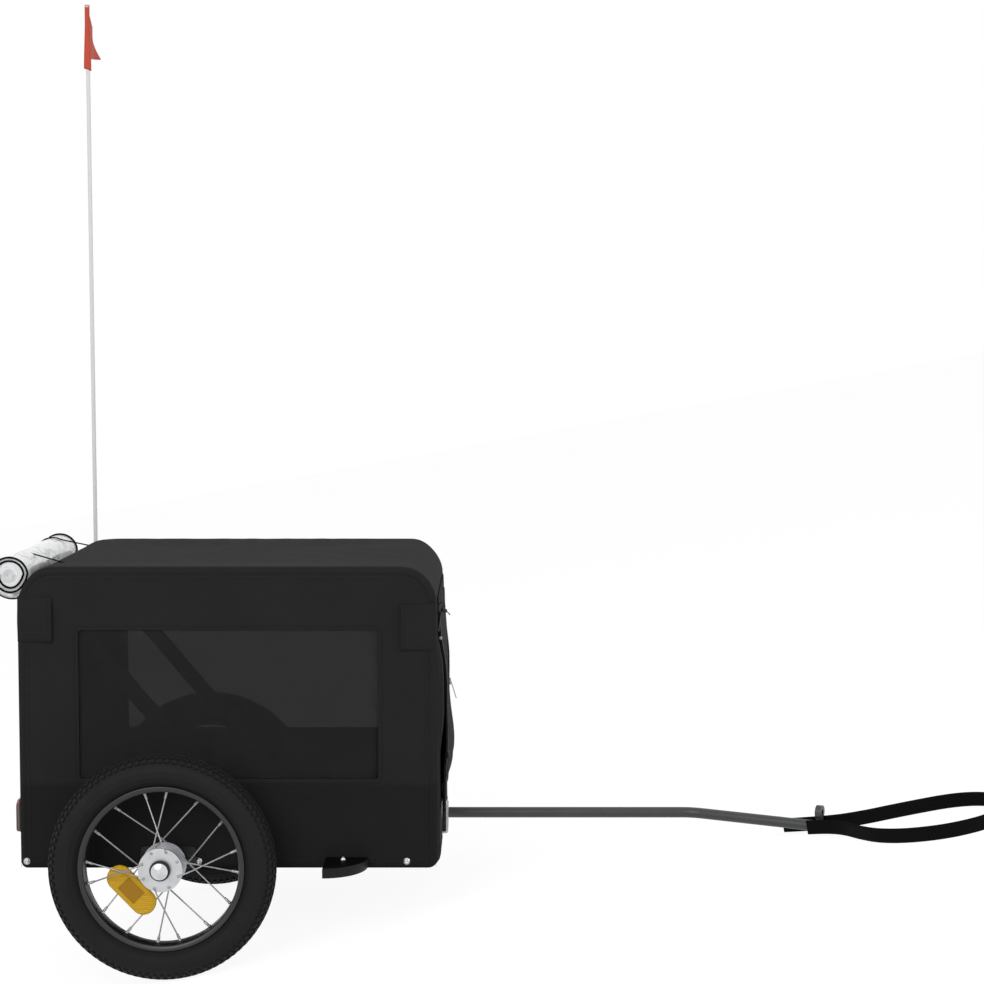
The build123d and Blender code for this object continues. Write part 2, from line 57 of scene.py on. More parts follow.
wheel_line = Vector((spin["pos_m"][0], 0, spin["pos_m"][2]))
park = Matrix.Translation(wheel_line) @ Matrix.Rotation(tilt, 4, "Y")
SIDES = {"left": 1, "right": -1}
AHEAD, LEFT, UP = Vector((1, 0, 0)), Vector((0, 1, 0)), Vector((0, 0, 1))


def level_box(node):
    """A CAD node's lowest and highest corners with the trailer held level."""
    level = park.inverted()
    points = [level @ vertex.co for vertex in frame["nodes"][node].data.vertices]
    low = Vector(min(point[k] for point in points) for k in range(3))
    high = Vector(max(point[k] for point in points) for k in range(3))
    return low, high


# ---- Studio ----
# A white floor and a white surround, one large soft lamp over the camera's left shoulder, weaker ones
# overhead and ahead of the trailer, and an even sky. The camera stands square to the cabin's side.
camera_place = Vector((0.4325, -3.0107, 0.6812))
camera_drop = math.radians(3.899)
camera_lens = 78.08

camera = bpy.data.objects.new("camera", bpy.data.cameras.new("camera"))
bpy.context.scene.collection.objects.link(camera)
camera.data.lens = camera_lens
camera.data.sensor_width = 36
camera.data.clip_end = 60
camera.matrix_world = (
    park @ Matrix.Translation(camera_place) @ Matrix.Rotation(math.pi / 2 - camera_drop, 4, "X"))
bpy.context.scene.camera = camera
bpy.context.scene.view_settings.view_transform = "Standard"


def paint(red, green=None, blue=None):
    """A display colour from 0 to 255, or one grey, as the linear colour that shaders take."""
    parts = (red, red if green is None else green, red if blue is None else blue)
    dim = 10.3          # below this the display's curve is straight
    linear = [part / 255 / 12.92 if part < dim else ((part / 255 + 0.055) / 1.055) ** 2.4 for part in parts]
    return (*linear, 1.0)


class Value:
    """A shader socket that Python's operators work on, each of them adding one Math node."""

    def __init__(self, finish, socket):
        self.finish = finish
        self.socket = socket

    def math(self, operation, *numbers):
        """The Math node of that operation on these numbers or values."""
        return self.finish.node("ShaderNodeMath", {"operation": operation}, dict(enumerate(numbers)))

    def __add__(self, other):
        return self.math("ADD", self, other)

    def __sub__(self, other):
        return self.math("SUBTRACT", self, other)

    def __rsub__(self, other):
        return self.math("SUBTRACT", other, self)

    def __mul__(self, other):
        return self.math("MULTIPLY", self, other)

    def __truediv__(self, other):
        return self.math("DIVIDE", self, other)

    def __rtruediv__(self, other):
        return self.math("DIVIDE", other, self)

    def __pow__(self, other):
        return self.math("POWER", self, other)

    def __gt__(self, other):
        return self.math("GREATER_THAN", self, other)

    def __lt__(self, other):
        return self.math("LESS_THAN", self, other)

    __radd__ = __add__
    __rmul__ = __mul__

    def sine(self):
        """The sine of the value, which repeats every 2 pi."""
        return self.math("SINE", self)

    def waves(self, pitch):
        """A sine wave along the value, one to every pitch."""
        return (self * (2 * math.pi / pitch)).sine()

    def size(self):
        """The value without its sign."""
        return self.math("ABSOLUTE", self)

    def between(self, low, high):
        """0 below low, 1 above high, and a smooth rise from one to the other."""
        sockets = {"Value": self, "From Min": low, "From Max": high}
        return self.finish.node("ShaderNodeMapRange", {"interpolation_type": "SMOOTHSTEP"}, sockets)


class Finish:
    """One material: its shader's constants, and the nodes that vary it over the surface."""

    def __init__(self, name, colour, roughness, slot=None, **constants):
        self.slot = slot or name
        self.material = bpy.data.materials.new(name)
        self.material.use_nodes = True
        self.nodes = self.material.node_tree.nodes
        self.links = self.material.node_tree.links
        self.shader = self.nodes["Principled BSDF"]
        self.out = self.nodes["Material Output"]
        self.coat(Base_Color=colour, Roughness=roughness, **constants)

    def coat(self, **sockets):
        """Sets or links the shader's own sockets, named with _ for a space."""
        for name, value in sockets.items():
            self.plug(self.shader.inputs[name.replace("_", " ")], value)

    def plug(self, socket, value):
        """Links a value to a socket, or sets it there."""
        if isinstance(value, Value):
            self.links.new(value.socket, socket)
        else:
            socket.default_value = value

    def node(self, kind, settings, sockets, out=0):
        """Adds a node: its settings first, then a value or a link for each of its sockets."""
        made = self.nodes.new(kind)
        for name, value in settings.items():
            setattr(made, name, value)
        for name, value in sockets.items():
            self.plug(made.inputs[name], value)
        return Value(self, made.outputs[out])

    def place(self):
        """Where a point is with the trailer held level, in metres from the middle of the wheel line."""
        here = self.node("ShaderNodeTexCoord", {}, {}, "Object")
        moved = self.node("ShaderNodeVectorMath", {"operation": "SUBTRACT"},
                          {0: here, 1: tuple(wheel_line)})
        sockets = {"Vector": moved, "Angle": -tilt}
        return self.node("ShaderNodeVectorRotate", {"rotation_type": "Y_AXIS"}, sockets)

    def axes(self, place):
        """The three numbers of a place."""
        return [self.node("ShaderNodeSeparateXYZ", {}, {"Vector": place}, k) for k in range(3)]

    def speckle(self, place, scale, detail=2.0, stretch=(1, 1, 1), rough=0.5):
        """Soft noise from 0 to 1, with about scale blots to the metre."""
        spread = self.node("ShaderNodeVectorMath", {"operation": "MULTIPLY"}, {0: place, 1: stretch})
        sockets = {"Vector": spread, "Scale": scale, "Detail": detail, "Roughness": rough}
        return self.node("ShaderNodeTexNoise", {}, sockets, "Fac")

    def mix(self, share, base, other):
        """Base colour where share is 0, the other colour where it is 1."""
        return self.node("ShaderNodeMix", {"data_type": "RGBA"}, {0: share, 6: base, 7: other}, 2)

    def relief(self, height, depth, strength=1.0):
        """A bump of that height, which is 1 at depth metres, as the shader's normal."""
        sockets = {"Height": height, "Distance": depth, "Strength": strength}
        self.coat(Normal=self.node("ShaderNodeBump", {}, sockets))


def white_where_seen(finish, plain, white):
    """Lets the camera, mirrors and glass see the white shader, and light come from the plain one."""
    rays = [finish.node("ShaderNodeLightPath", {}, {}, f"Is {kind} Ray")
            for kind in ("Camera", "Glossy", "Transmission")]
    seen = rays[0].math("MAXIMUM", rays[0], rays[1].math("MAXIMUM", rays[1], rays[2]))
    return finish.node("ShaderNodeMixShader", {}, {0: seen, 1: plain, 2: white})


class Sky(Finish):
    """The world's nodes, built the way a material's are."""

    def __init__(self, strength):
        world = bpy.data.worlds.new("surround")
        world.use_nodes = True
        bpy.context.scene.world = world
        self.nodes = world.node_tree.nodes
        self.links = world.node_tree.links
        plain = Value(self, self.nodes["Background"].outputs[0])
        self.nodes["Background"].inputs["Strength"].default_value = strength
        self.nodes["Background"].inputs["Color"].default_value = (1, 1, 1, 1)
        white = self.node("ShaderNodeBackground", {}, {"Color": (1, 1, 1, 1), "Strength": 1.0})
        self.plug(self.nodes["World Output"].inputs[0], white_where_seen(self, plain, white))


Sky(strength=0.36)


def soft_lamp(name, place, target, size, power):
    """A square soft box at place that faces target, both with the trailer level."""
    lamp = bpy.data.objects.new(name, bpy.data.lights.new(name, "AREA"))
    lamp.data.size = size
    lamp.data.energy = power
    bpy.context.scene.collection.objects.link(lamp)
    facing = (Vector(target) - Vector(place)).to_track_quat("-Z", "Y").to_matrix().to_4x4()
    lamp.matrix_world = park @ (Matrix.Translation(place) @ facing)


soft_lamp("key_lamp", (-1.0, -3.0, 1.9), (0.1, 0, 0.2), 2.2, 44)
soft_lamp("top_lamp", (0.3, 0.6, 3.0), (0.1, 0, 0.2), 2.6, 3)
soft_lamp("nose_lamp", (2.8, -0.8, 1.4), (0.3, 0, 0.1), 1.6, 15)

floor_mesh = bpy.data.meshes.new("floor")
floor_half = 14.0
floor_mesh.from_pydata(
    [(x, y, 0) for x, y in ((-floor_half, -floor_half), (floor_half, -floor_half),
                            (floor_half, floor_half), (-floor_half, floor_half))],
    [], [(0, 1, 2, 3)])
floor = bpy.data.objects.new("floor", floor_mesh)
bpy.context.scene.collection.objects.link(floor)
floor_paint = Finish("floor_paint", (0.8, 0.8, 0.8, 1), 0.9, Specular_IOR_Level=0.0)
glow = floor_paint.node("ShaderNodeEmission", {}, {"Color": (1, 1, 1, 1), "Strength": 1.22})
shade = floor_paint.node("ShaderNodeMixShader", {}, {
    0: 0.75, 1: Value(floor_paint, floor_paint.shader.outputs[0]), 2: glow})
floor_paint.plug(floor_paint.out.inputs[0], white_where_seen(
    floor_paint, Value(floor_paint, floor_paint.shader.outputs[0]), shade))
floor_mesh.materials.append(floor_paint.material)


# ---- Safety strap ----
# A loop of 20 mm black nylon webbing that goes round the bike's frame. It is sewn round the tip of
# the drawbar, and parked it lies on its edge on the floor, ahead of the tip.
crank = math.radians(28)
strap_width = 0.020
strap_thick = 0.0022
strap_lift = 0.0005
strap_route = [
    (-0.0538, 0.03925), (0.0042, 0.0079), (0.052, 0.002), (0.112, 0.010), (0.190, 0.012),
    (0.233, -0.025), (0.241, -0.084), (0.204, -0.133), (0.146, -0.149), (0.092, -0.137),
    (0.055, -0.110), (0.034, -0.072), (0.020, -0.036), (0.0002, -0.0104), (-0.0252, 0.0034),
]
bar_low, bar_high = level_box("drawbar")
bar_r = (bar_high.z - bar_low.z) / 2
bar_height = (bar_low.z + bar_high.z) / 2
bar_tip = Vector((bar_high.x - bar_r * math.sin(crank), bar_low.y + bar_r * math.cos(crank), bar_height))
tip_on_floor = park @ bar_tip


def smooth_line(points, ends=True):
    """Points along the smooth curve that a list of control points draws."""
    curve = bpy.data.curves.new("line", "CURVE")
    curve.dimensions = "3D"
    spline = curve.splines.new("NURBS")
    spline.points.add(len(points) - 1)
    for point, place in zip(spline.points, points):
        point.co = (*place, 1)
    spline.order_u = 3
    spline.use_endpoint_u = ends
    spline.use_cyclic_u = not ends
    spline.resolution_u = 12
    holder = bpy.data.objects.new("line", curve)
    mesh = bpy.data.meshes.new_from_object(holder)
    line = [vertex.co.copy() for vertex in mesh.vertices]
    bpy.data.objects.remove(holder)
    bpy.data.curves.remove(curve)
    bpy.data.meshes.remove(mesh)
    return line


def piece(name, mesh_parts, finish, body, stands_for=None, slot=None, level=True, smooth=True):
    """A shown piece from (points, faces), tipped as the trailer stands, that rides on its body if given.

    It stands for the CAD node named, if any."""
    points, faces = mesh_parts
    mesh = bpy.data.meshes.new(name)
    mesh.from_pydata([tuple(point) for point in points], [], faces)
    if level:
        mesh.transform(park)
    tidy = bmesh.new()
    tidy.from_mesh(mesh)
    bmesh.ops.recalc_face_normals(tidy, faces=tidy.faces)
    tidy.to_mesh(mesh)
    tidy.free()
    mesh.polygons.foreach_set("use_smooth", [smooth] * len(mesh.polygons))
    mesh.materials.append(finish.material)
    made = bpy.data.objects.new(name, mesh)
    bpy.context.scene.collection.objects.link(made)
    if body:
        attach(made, body)
    if stands_for:
        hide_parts(stands_for)
    slot or finish.slot
    return made


def joined(parts):
    """Several (points, faces) as one."""
    points, faces = [], []
    for some_points, some_faces in parts:
        start = len(points)
        points.extend(some_points)
        faces.extend([tuple(start + index for index in face) for face in some_faces])
    return points, faces


def quads(rows, close_rows=False, close_columns=False, caps=False):
    """The faces between rows of points, each as long as the first; caps fill the two end rows."""
    across, down = len(rows[0]), len(rows)
    faces = []
    for i in range(down if close_rows else down - 1):
        for j in range(across if close_columns else across - 1):
            a, b = i * across + j, i * across + (j + 1) % across
            under = ((i + 1) % down) * across
            faces.append((a, b, under + (j + 1) % across, under + j))
    if caps:
        faces.append(tuple(range(across)))
        faces.append(tuple((down - 1) * across + j for j in reversed(range(across))))
    return [point for row in rows for point in row], faces


def solid(outlines):
    """A solid from a stack of closed outlines."""
    return quads(outlines, close_columns=True, caps=True)


def swept(line, outline, up=UP, close=False):
    """A band or cord: the outline's (across, upwards) points carried along a line, one side kept up."""
    rows = []
    for i, point in enumerate(line):
        before = line[i - 1] if i or close else point
        after = line[(i + 1) % len(line)] if i < len(line) - 1 or close else point
        along = (after - before).normalized()
        side = along.cross(up).normalized()
        top = side.cross(along)
        rows.append([point + side * across + top * rise for across, rise in outline])
    return quads(rows, close_rows=close, close_columns=True, caps=not close)


def round_outline(width, height, corner, steps=3):
    """A rectangle with round corners about the middle, as points in order."""
    points = []
    for quarter, (sx, sy) in enumerate(((1, 1), (-1, 1), (-1, -1), (1, -1))):
        for step in range(steps + 1):
            angle = math.pi / 2 * (quarter + step / steps)
            points.append((sx * (width / 2 - corner) + corner * math.cos(angle),
                           sy * (height / 2 - corner) + corner * math.sin(angle)))
    return points


webbing = Finish("black_webbing", paint(17), 0.7, Specular_IOR_Level=0.06)
webbing_place = webbing.place()
_, _, webbing_z = webbing.axes(webbing_place)
ribs = webbing_z.waves(0.0021)
threads = webbing.speckle(webbing_place, 620, 1.0, (1, 1, 3))
webbing.coat(Base_Color=webbing.mix(ribs * 0.25 + threads * 0.5, paint(10), paint(24)),
             Roughness=0.62 + threads * 0.2)
webbing.relief(ribs * 0.5 + threads, 0.0004, 0.6)

strap_middle = strap_lift + strap_width / 2
strap_points = [(tip_on_floor.x + x, tip_on_floor.y + y, strap_middle) for x, y in strap_route]
strap_line = smooth_line(strap_points)
woven_edges = (0.0009, 0.0, *[0.0003] * 5, 0.0, 0.0009)      # how far each row of threads sits in
strap_outline = [(side * (strap_thick / 2 - woven_edges[row]), (row / 4 - 1) * strap_width / 2)
                 for side, rows in ((1, range(9)), (-1, reversed(range(9)))) for row in rows]
strap = piece("strap_webbing", swept(strap_line, strap_outline), webbing, "chassis", level=False,
              stands_for="safety_strap")
strap_length = sum((b - a).length for a, b in zip(strap_line, strap_line[1:]))
tuple(strap_line[0])
[tuple(point) for point in strap_line]

# ---- Drawbar, hitch eye and pin ----
# One grey powder-coated steel tube. Its tip carries a moulded hitch eye, and its other end has a tongue
# that a drop pin with a wire ring locks between the legs of a zinc-plated bracket on the front wall.


def mottled(name, colours, blots, rough, grain=None, depth=0.0001, strength=0.5, slot=None, **constants):
    """A finish that wanders between two colours, and from rough[0] up by rough[1], in soft blots.

    blots and grain are a speckle's scale, detail and stretch. The bump is of the grain, or of the blots."""
    made = Finish(name, colours[1], rough[0], slot, **constants)
    here = made.place()
    cloud = made.speckle(here, *blots)
    made.coat(Base_Color=made.mix(cloud, *colours))
    if rough[1]:
        made.coat(Roughness=rough[0] + cloud * rough[1])
    if depth:
        made.relief(made.speckle(here, *grain) if grain else cloud, depth, strength)
    return made


grey_coat = mottled("drawbar_steel", (paint(56, 57, 58), paint(74, 75, 76)), (34, 3.0), (0.30, 0.16),
                    (900, 1.5), 0.00012, Metallic=0.2, Specular_IOR_Level=0.5)
plated = mottled("zinc_steel", (paint(186, 188, 191), paint(228, 229, 231)), (120, 3.0), (0.2, 0.22),
                 (1500, 1.0), 0.00006, 0.4, Metallic=1.0)
plastic = mottled("black_plastic", (paint(20), paint(34)), (45, 3.0), (0.42, 0.2), (1300, 1.0), 0.00008,
                  Specular_IOR_Level=0.45)
passivated = mottled("zinc_bracket", (paint(232, 233, 234), paint(248, 248, 249)), (400, 3.0), (0.42, 0.2),
                     strength=0.3, slot="zinc_steel", Metallic=0.25, Specular_IOR_Level=0.5)


def painted(finish, *names):
    """Gives CAD nodes a finish."""
    for name in names:
        node = frame["nodes"][name]
        node.data.materials.clear()
        node.data.materials.append(finish.material)


painted(grey_coat, "drawbar", "hitch_eye")
painted(plated, "hitch_pin")
painted(passivated, "hitch_bracket")


def circle(steps):
    """The cosine and sine of even steps round a circle."""
    return [(math.cos(2 * math.pi * k / steps), math.sin(2 * math.pi * k / steps)) for k in range(steps)]


def ring_line(centre, radius, axis_a, axis_b, steps=32):
    """The points of a circle in the plane of two axes."""
    return [centre + axis_a * (radius * c) + axis_b * (radius * s) for c, s in circle(steps)]


def round_cord(line, radius, up=UP, sides=8, close=False):
    """A round tube along a line, which never runs along up."""
    return swept(line, [(radius * c, radius * s) for c, s in circle(sides)], up, close)


pin_low, pin_high = level_box("hitch_pin")
pin_head = Vector(((pin_low.x + pin_high.x) / 2, pin_low.y, pin_high.z - 0.0023))
wire = 0.0009
pull_radius = 0.0068
pull_lean = Vector((0.34, -0.94, 0))
pull_middle = pin_head + Vector((0.0012, -0.0002, pull_radius * 0.45))
pull_ring = round_cord(ring_line(pull_middle, pull_radius, pull_lean, UP), wire, pull_lean.cross(UP),
                       close=True)
piece("pin_ring", pull_ring, plated, "chassis")

# ---- Tyres ----
# Fat moulded rubber tyres, 45 mm across, with a knobbly tread of small blocks in staggered rows and
# fine ribs round the sidewall. Two beads hold each tyre between the flanges of its rim.
tyre_low, tyre_high = level_box("tyre_left")
wheel_r = tyre_high.z
section_r = (tyre_high.y - tyre_low.y) / 2
wheel_y = (tyre_high.y + tyre_low.y) / 2
section_centre = wheel_r - section_r
rim_low, rim_high = level_box("rim_left")
rim_edge_r = rim_high.z
rim_half = (rim_high.y - rim_low.y) / 2
block_height = 0.0022
casing_r = section_r - block_height


def about_axle(radius, turn, y, side):
    """A point at a radius and turn about a wheel's axle, y out from the wheel's middle."""
    return Vector((radius * math.cos(turn), side * (wheel_y + y), radius * math.sin(turn)))


def tyre_point(turn, round_section, height, side):
    """A point on the tyre: turn about the axle, angle round the section from its crown, height over it."""
    radius = section_centre + (casing_r + height) * math.cos(round_section)
    across = (section_r - block_height * math.cos(round_section) ** 2 + height) * math.sin(round_section)
    return about_axle(radius, turn, across, side)


def turned(profile, side, steps=144):
    """A closed (radius, y) profile turned about a wheel's axle."""
    rows = [[about_axle(radius, 2 * math.pi * k / steps, y, side) for radius, y in profile]
            for k in range(steps)]
    return quads(rows, close_rows=True, close_columns=True)


def tyre_profile():
    """The casing's section: a round crown, ribbed sidewalls and the two beads."""
    half = []
    bead_angle = math.radians(142)
    for k in range(41):
        angle = bead_angle * k / 40
        rib = 0.0
        for place, wide, tall in ((64, 4, 0.0005), (82, 2.5, 0.0006), (104, 6, 0.0008), (124, 3, 0.0006)):
            rib += tall * max(0.0, 1 - abs(math.degrees(angle) - place) / wide)
        radius = section_centre + casing_r * math.cos(angle)
        across = (section_r - 0.0008 - block_height * math.cos(angle) ** 2) * math.sin(angle)
        half.append((radius + rib * math.cos(angle), across + rib * math.sin(angle)))
    half.append((rim_edge_r - 0.0045, rim_half - 0.0022))
    return half + [(radius, -across) for radius, across in reversed(half[1:])]


def tread_block(turn, angle, long, wide, side, skew=0.0):
    """One tapered rubber block: long round the tyre and wide round its section, both in radians."""
    corners = []
    for height, taper in ((-0.0006, 1.12), (block_height, 0.86)):
        for a, b in ((-1, -1), (1, -1), (1, 1), (-1, 1)):
            corners.append(tyre_point(turn + taper * a * long / 2 + skew * b, angle + taper * b * wide / 2,
                                      height, side))
    return corners, [(4, 5, 6, 7), (0, 1, 5, 4), (1, 2, 6, 5), (2, 3, 7, 6), (3, 0, 4, 7)]


block_rows = 92
block_pitch = 2 * math.pi / block_rows
block_columns = [(7, 9, 0.0), (-7, 9, 0.5), (24, 11, 0.5), (-24, 11, 0.0), (43, 13, 0.0), (-43, 13, 0.5)]
rubber = Finish("tyre_rubber", paint(30), 0.72, Specular_IOR_Level=0.25)
rubber_place = rubber.place()
rubber_x, _, rubber_z = rubber.axes(rubber_place)
from_axle = (rubber_x * rubber_x + rubber_z * rubber_z) ** 0.5
bloom = rubber.speckle(rubber_place, 55, 4.0)
dust = rubber.speckle(rubber_place, 900, 1.0)
rubber.coat(Base_Color=rubber.mix(bloom * 0.7 + dust * 0.3, paint(15), paint(28)),
            Roughness=0.62 + bloom * 0.22)
fine_ribs = from_axle.waves(0.0016) * from_axle.between(0.112, 0.116)
rubber.relief(fine_ribs * 0.35 + dust * 0.6, 0.00022, 0.5)

for side_name, side in SIDES.items():
    body = f"wheel_{side_name}"
    piece(f"tyre_casing_{side_name}", turned(tyre_profile(), side), rubber, body,
          stands_for=f"tyre_{side_name}")
    blocks = []
    for k in range(block_rows):
        for angle, wide, stagger in block_columns:
            skew = math.copysign(0.006, angle) if abs(angle) < 30 else 0.0
            blocks.append(tread_block((k + stagger) * block_pitch, math.radians(angle), 0.62 * block_pitch,
                                      math.radians(wide), side, skew))
    piece(f"tyre_tread_{side_name}", joined(blocks), rubber, body, smooth=False)

# ---- Rims and spokes ----
# Steel rims, rolled to a channel and stove-enamelled black, each with sixteen plated wire spokes.
# A brass-grey nipple holds every spoke's outer end in the rim, and a bent head its inner end.
rim_bore_r = rim_edge_r - 0.008


def rim_profile():
    """A rolled channel: a flat well with two flanges whose edges curl outwards."""
    well = rim_bore_r
    sheet = 0.0016
    channel = ((0.0, 0.0045), (0.0008, 0.0022), (0.0026, 0.0007))
    curl = ((0.003, 0.0006), (0.0014, 0.0001), (0.0003, 0.0006), (0.0, 0.0014), (0.0005, 0.0022),
            (0.0018, 0.0022))
    half = [(well, 0.0)] + [(well + up, rim_half - back) for up, back in channel]
    half += [(rim_edge_r - down, rim_half - back) for down, back in curl]
    half += [(well + sheet + 0.0016, rim_half - 0.0024), (well + sheet, rim_half - 0.0044),
             (well + sheet, 0.0)]
    return half + [(radius, -across) for radius, across in reversed(half[1:-1])]


enamel = mottled("rim_black", (paint(11), paint(22)), (60, 4.0), (0.26, 0.22), (700, 1.0), 0.00006,
                 Coat_Weight=0.2, Coat_Roughness=0.2)
chrome = mottled("spoke_steel", (paint(140, 141, 142), paint(178, 179, 180)), (260, 2.0), (0.28, 0.16),
                 depth=0, Metallic=0.7)

spoke_circle = 0.025
spoke_turn, narrow_pair, wide_pair, wheel_phase = (math.radians(a) for a in (22.5, 8.5, 33.3, 94.5))
nipple_length = 0.011
nipple_r = 0.0019
spoke_head_r = 0.0021


def nipple(rim_turn, hub_turn, hub_y, side):
    """A slotted sleeve that narrows towards the hub, over the outer end of a spoke."""
    outer = about_axle(rim_bore_r - 0.0002, rim_turn, 0, side)
    inward = (about_axle(spoke_circle, hub_turn, hub_y, side) - outer).normalized()
    sideways = inward.cross(LEFT).normalized()
    upwards = inward.cross(sideways)
    sleeve = ((0, 0.8), (0.0008, 1.35), (0.002, 1.35), (0.0024, 1.0), (0.008, 1.0), (nipple_length, 0.72))
    return solid([[outer + inward * reach + (sideways * c + upwards * s) * radius * nipple_r
                   for c, s in circle(10)] for reach, radius in sleeve])


def spoke_head(hub_turn, hub_y, side):
    """The flattened head of a spoke, seated in its hole on a hub flange."""
    rows = []
    for y, radius in ((-0.0002, 1.0), (0.0004, 1.0), (0.0009, 0.7), (0.0011, 0.2)):
        middle = about_axle(spoke_circle, hub_turn, hub_y + math.copysign(y, hub_y), side)
        rows.append([middle + Vector((c, 0, s)) * radius * spoke_head_r for c, s in circle(10)])
    return solid(rows)


flange_y = 0.0195
for side_name, side in SIDES.items():
    body = f"wheel_{side_name}"
    painted(chrome, f"spokes_{side_name}")
    piece(f"rim_channel_{side_name}", turned(rim_profile(), side), enamel, body,
          stands_for=f"rim_{side_name}")
    small = []
    for quarter in range(4):
        line = wheel_phase + quarter * math.pi / 2
        for way in (1, -1):
            hub_turn = line - way * spoke_turn
            small.append(nipple(line + way * narrow_pair, hub_turn, flange_y - 0.0015, side))
            small.append(nipple(line + way * wide_pair, hub_turn, 0.0015 - flange_y, side))
            small.append(spoke_head(hub_turn, flange_y, side))
            small.append(spoke_head(hub_turn, -flange_y, side))
    piece(f"nipples_{side_name}", joined(small), chrome, body)

# ---- Hubs, axles and their brackets ----
# Each hub is a turned aluminium barrel with two flanges and a black dust seal at either end. Its
# plated axle passes through it into the boss of a black plate bolted to the base rail.
seal_low_r, seal_high_r = 0.0108, 0.0139
plate_thick = 0.004
plate_bolt_inset = 0.009

alloy = Finish("hub_alloy", paint(196, 197, 199), 0.3, Metallic=1.0)
alloy_place = alloy.place()
alloy_x, alloy_y, alloy_z = alloy.axes(alloy_place)
alloy_r = (alloy_x * alloy_x + alloy_z * alloy_z) ** 0.5
seal = (alloy_r > seal_low_r) * (alloy_r < seal_high_r) * (alloy_y.size() > wheel_y + flange_y + 0.0002)
lathe_lines = alloy_r.waves(0.00045)
alloy_haze = alloy.speckle(alloy_place, 90, 3.0)
bright = alloy.mix(alloy_haze, paint(182, 183, 186), paint(212, 213, 215))
alloy.coat(Base_Color=alloy.mix(seal, bright, paint(18)), Metallic=1 - seal,
           Roughness=0.24 + alloy_haze * 0.18 + seal * 0.25)
alloy.relief(lathe_lines * 0.5 + alloy_haze, 0.00008, 0.35)

frame_coat = mottled("frame_steel", (paint(15), paint(27)), (40, 4.0), (0.34, 0.2), (1000, 1.0),
                     Specular_IOR_Level=0.45)


def bolt(x, y, z, face, head_r=0.0045, head_height=0.0026):
    """A domed button head with a hexagon socket on a thin washer, seated at y, its head towards face."""
    turns = [2 * math.pi * k / 24 for k in range(24)]
    washer_r = head_r * 1.32
    dome = ((washer_r, -0.0003), (washer_r, 0.0005), (head_r, 0.0006), (head_r * 0.98, 0.0012),
            (head_r * 0.82, head_height * 0.82), (head_r * 0.6, head_height))
    flat = head_r * 0.42
    hexagon = [flat / math.cos(a % (math.pi / 3) - math.pi / 6) for a in turns]
    layers = [([r] * len(turns), out) for r, out in dome]
    layers += [(hexagon, head_height), (hexagon, head_height * 0.45)]
    return solid([[Vector((x + r * math.cos(a), y + face * out, z + r * math.sin(a)))
                   for a, r in zip(turns, radii)] for radii, out in layers])


for side_name, side in SIDES.items():
    painted(alloy, f"hub_{side_name}")
    painted(plated, f"axle_{side_name}")
    painted(frame_coat, f"axle_bracket_{side_name}")
    plate_low, plate_high = level_box(f"axle_bracket_{side_name}")
    plate_face = side * (min(abs(plate_low.y), abs(plate_high.y)) + plate_thick)
    bolt_x = plate_high.x - plate_bolt_inset
    plate_bolts = [bolt(x, plate_face, 0, side, head_r=0.0042) for x in (bolt_x, -bolt_x)]
    piece(f"bracket_bolts_{side_name}", joined(plate_bolts), frame_coat, "chassis")

# ---- Wheel reflectors ----
# An amber lozenge of moulded acrylic clipped between the spokes of each wheel. Its ends are ribbed
# with slanting prisms, and its middle is a darker smooth window over the clip.
lens_turn = math.radians(224)
lens_x, lens_z = -0.0407, -0.0307
lens_half_length, lens_half_width, lens_half_thick = 0.039, 0.017, 0.0038
lens_window = (0.0145, 0.0105)
prism_pitch = 0.0026

amber = Finish("amber_lens", paint(226, 180, 30), 0.3, Specular_IOR_Level=0.2, Coat_Weight=0.08,
               Coat_Roughness=0.1)
amber_x, _, amber_z = amber.axes(amber.place())
amber_x, amber_z = amber_x - lens_x, amber_z - lens_z
amber_along = amber_z * math.cos(lens_turn) - amber_x * math.sin(lens_turn)
amber_across = amber_x * math.cos(lens_turn) + amber_z * math.sin(lens_turn)
in_window = (amber_along.size() < lens_window[0]) * (amber_across.size() < lens_window[1])
facets = (amber_along + amber_across).waves(prism_pitch)
cells = (amber_along - amber_across).waves(prism_pitch) * facets
ribbed_tone = amber.mix(facets * 0.3 + 0.5, paint(212, 162, 6), paint(246, 198, 30))
window_tone = amber.mix(cells * 0.4 + 0.5, paint(172, 120, 8), paint(210, 156, 26))
amber.coat(Base_Color=amber.mix(in_window, ribbed_tone, window_tone))
amber.relief(cells * in_window + facets * 0.6 * (1 - in_window), 0.0004, 0.6)


def lozenge(grow, steps=12):
    """The lozenge's outline as (along, across), drawn in or out by grow."""
    radius = lens_half_width + grow
    straight = lens_half_length - lens_half_width
    return [(math.copysign(straight, math.cos(a)) + radius * math.cos(a), radius * math.sin(a))
            for a in (math.pi * (k + 0.5) / steps for k in range(2 * steps))]


def on_lens(along, across, out, side):
    """A point on the reflector, out from the middle of its thickness."""
    x = lens_x + across * math.cos(lens_turn) - along * math.sin(lens_turn)
    z = lens_z + across * math.sin(lens_turn) + along * math.cos(lens_turn)
    return Vector((x, side * (wheel_y + out), z))


def lens_body(side):
    """The moulded lozenge with bevelled rims on both faces."""
    layers = ((-0.006, -lens_half_thick), (-0.0016, -lens_half_thick + 0.0004), (0, -0.0022), (0, 0.0018),
              (-0.0012, 0.0029), (-0.0026, 0.0030), (-0.006, 0.0030))
    return solid([[on_lens(u, v, out, side) for u, v in lozenge(grow)] for grow, out in layers])


